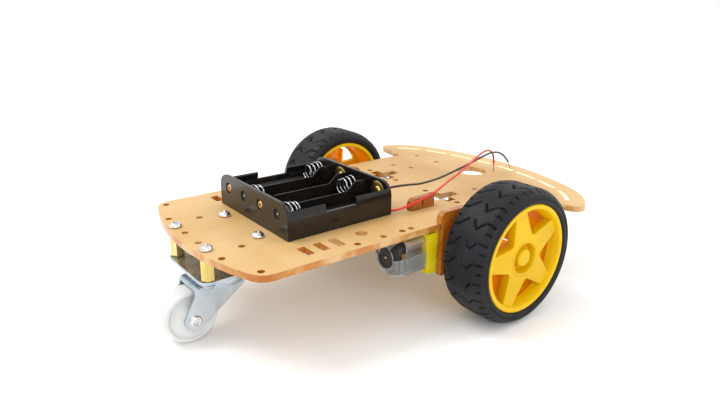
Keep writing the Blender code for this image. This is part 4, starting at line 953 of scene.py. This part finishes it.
def thicken(piece, thickness):
    """Gives an open mesh a thickness and rounds its cut edges."""
    solid = piece.modifiers.new("solid", "SOLIDIFY")
    solid.thickness = thickness
    solid.offset = 1.0
    bevel = piece.modifiers.new("edges", "BEVEL")
    bevel.width = 0.16 * MM
    bevel.segments = 2
    bevel.limit_method = "ANGLE"
    bevel.angle_limit = math.radians(50)
    made = final_mesh(piece)
    piece.modifiers.clear()
    piece.data = made


for word, _ in SIDES:
    cap = new_piece(f"rounded_end_cap_{word}", cap_mesh(), BLACK, "chassis")
    cap.matrix_world = Matrix.Translation(CAP_CENTRE[word])
    settle(cap, f"motor_end_cap_{word}")
    strap = new_piece(f"clear_motor_strap_{word}", strap_mesh(), STRAP, "chassis",
                      0)
    strap.matrix_world = Matrix.Translation(CAP_CENTRE[word] - Vector((0.3 * MM, 0, 0)))
    thicken(strap, 0.5 * MM)
    strap.data.shade_smooth()
    strap.data.set_sharp_from_angle(angle=math.radians(40))
    settle(strap, f"motor_strap_{word}")


# ---------------------------------------------------------------- caster

SWIVEL_X = -82.95 * MM
CASTER_AXLE = Vector((-99.15, 0, 12.5)) * MM
CROWN_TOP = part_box("caster_fork")[1].z
BALLS = 20
BALL_RADIUS = 0.85 * MM
BALL_CIRCLE = 11.0 * MM


def mirrored(profile):
    """A (radius, height) profile with its own mirror image about zero height after it."""
    return profile + [(r, -h) for r, h in reversed(profile) if h]


def caster_pieces():
    """The caster's nylon wheel, its tube rivet, and the race the fork turns on."""
    tread = [(1.9, 7.0), (4.2, 7.0), (4.6, 6.8), (4.8, 6.2), (5.2, 4.6), (5.8, 4.2), (9.6, 4.1),
             (10.0, 4.3), (10.3, 4.9), (10.8, 5.2), (11.6, 5.1), (12.1, 4.6), (12.38, 3.8),
             (12.5, 2.4)]
    wheel = new_piece("caster_roller_wheel", revolve(mirrored(tread), 84), NYLON,
                      "caster_roller", 40.0)
    wheel.matrix_world = Matrix.Translation(CASTER_AXLE)
    settle(wheel, "caster_wheel")
    rivet = [(0.0, 9.3), (1.15, 9.3), (1.3, 9.9), (1.7, 10.25), (2.1, 10.2), (2.45, 9.9),
             (2.6, 9.5), (2.75, 9.25), (2.9, 9.2), (2.9, 8.95), (1.6, 8.95), (1.6, 0.0)]
    axle = new_piece("caster_tube_rivet", revolve(mirrored(rivet), 48, closed=False), CHROME,
                     "caster_swivel")
    axle.matrix_world = Matrix.Translation(CASTER_AXLE)
    settle(axle, "caster_axle")
    shape = bmesh.new()
    bmesh.ops.create_icosphere(shape, subdivisions=3, radius=BALL_RADIUS)
    ball = mesh_from(shape, "ball")
    balls = joined("caster_race_balls",
                   [(ball, Matrix.Translation((SWIVEL_X + x, y, CROWN_TOP + 0.95 * MM)))
                    for x, y in circle(BALL_CIRCLE, BALLS)],
                   CHROME, "caster_swivel")
    settle(balls)
    cup = [(12.6, -0.6), (12.75, 0.4), (12.6, 1.5), (12.2, 1.75), (11.9, 1.5), (12.0, 0.2),
           (11.6, 0.05), (6.0, 0.05), (6.0, -0.3)]
    race = new_piece("caster_lower_race", revolve(cup, 64, "Z"), ZINC, "caster_swivel")
    race.matrix_world = Matrix.Translation((SWIVEL_X, 0, CROWN_TOP))
    settle(race)


caster_pieces()


# ---------------------------------------------------------------- stage

LIGHT_AIM = Vector((0, 0, 0.03))
FLOOR_HALF = 30
FLOOR_GAP = 0.05 * MM  # the floor is this far below the tyres, which stand at zero


def area_light(name, place, size, power, colour=(1, 1, 1)):
    """A round soft light at a place, aimed at the car."""
    data = bpy.data.lights.new(name, "AREA")
    data.shape = "DISK"
    data.size = size
    data.energy = power
    data.color = colour
    light = bpy.data.objects.new(name, data)
    bpy.context.scene.collection.objects.link(light)
    light.location = place
    light.rotation_euler = (LIGHT_AIM - Vector(place)).to_track_quat("-Z", "Y").to_euler()


def make_stage():
    """The pale floor, the even studio light and three soft lamps."""
    mesh = bpy.data.meshes.new("floor")
    mesh.from_pydata([(a * FLOOR_HALF, b * FLOOR_HALF, 0)
                      for a, b in ((-1, -1), (1, -1), (1, 1), (-1, 1))], [], [(0, 1, 2, 3)])
    floor = bpy.data.objects.new("floor", mesh)
    bpy.context.scene.collection.objects.link(floor)
    floor.location.z = -FLOOR_GAP
    paper = surface("floor_paper", [(247.6, 247.2, 246.8), (249.9, 249.7, 249.3)], (0.7, 0.8),
                    patch=1.2, grain=900.0, depth=0.01, specular=0.2)
    mesh.materials.append(paper)
    world = bpy.data.worlds.new("studio")
    bpy.context.scene.world = world
    world.use_nodes = True
    background = world.node_tree.nodes["Background"].inputs
    background["Color"].default_value = (1.0, 0.99, 0.98, 1.0)
    background["Strength"].default_value = 1.07
    area_light("key", (-0.5, 0.35, 0.95), 0.6, 6.0, (1.0, 0.98, 0.95))
    area_light("fill", (-0.35, -0.95, 0.5), 0.7, 3.0, (0.97, 0.98, 1.0))
    area_light("side", (0.9, -0.35, 0.7), 0.5, 1.6)
    bpy.context.scene.view_settings.view_transform = "Standard"
    bpy.context.scene.view_settings.look = "None"


make_stage()
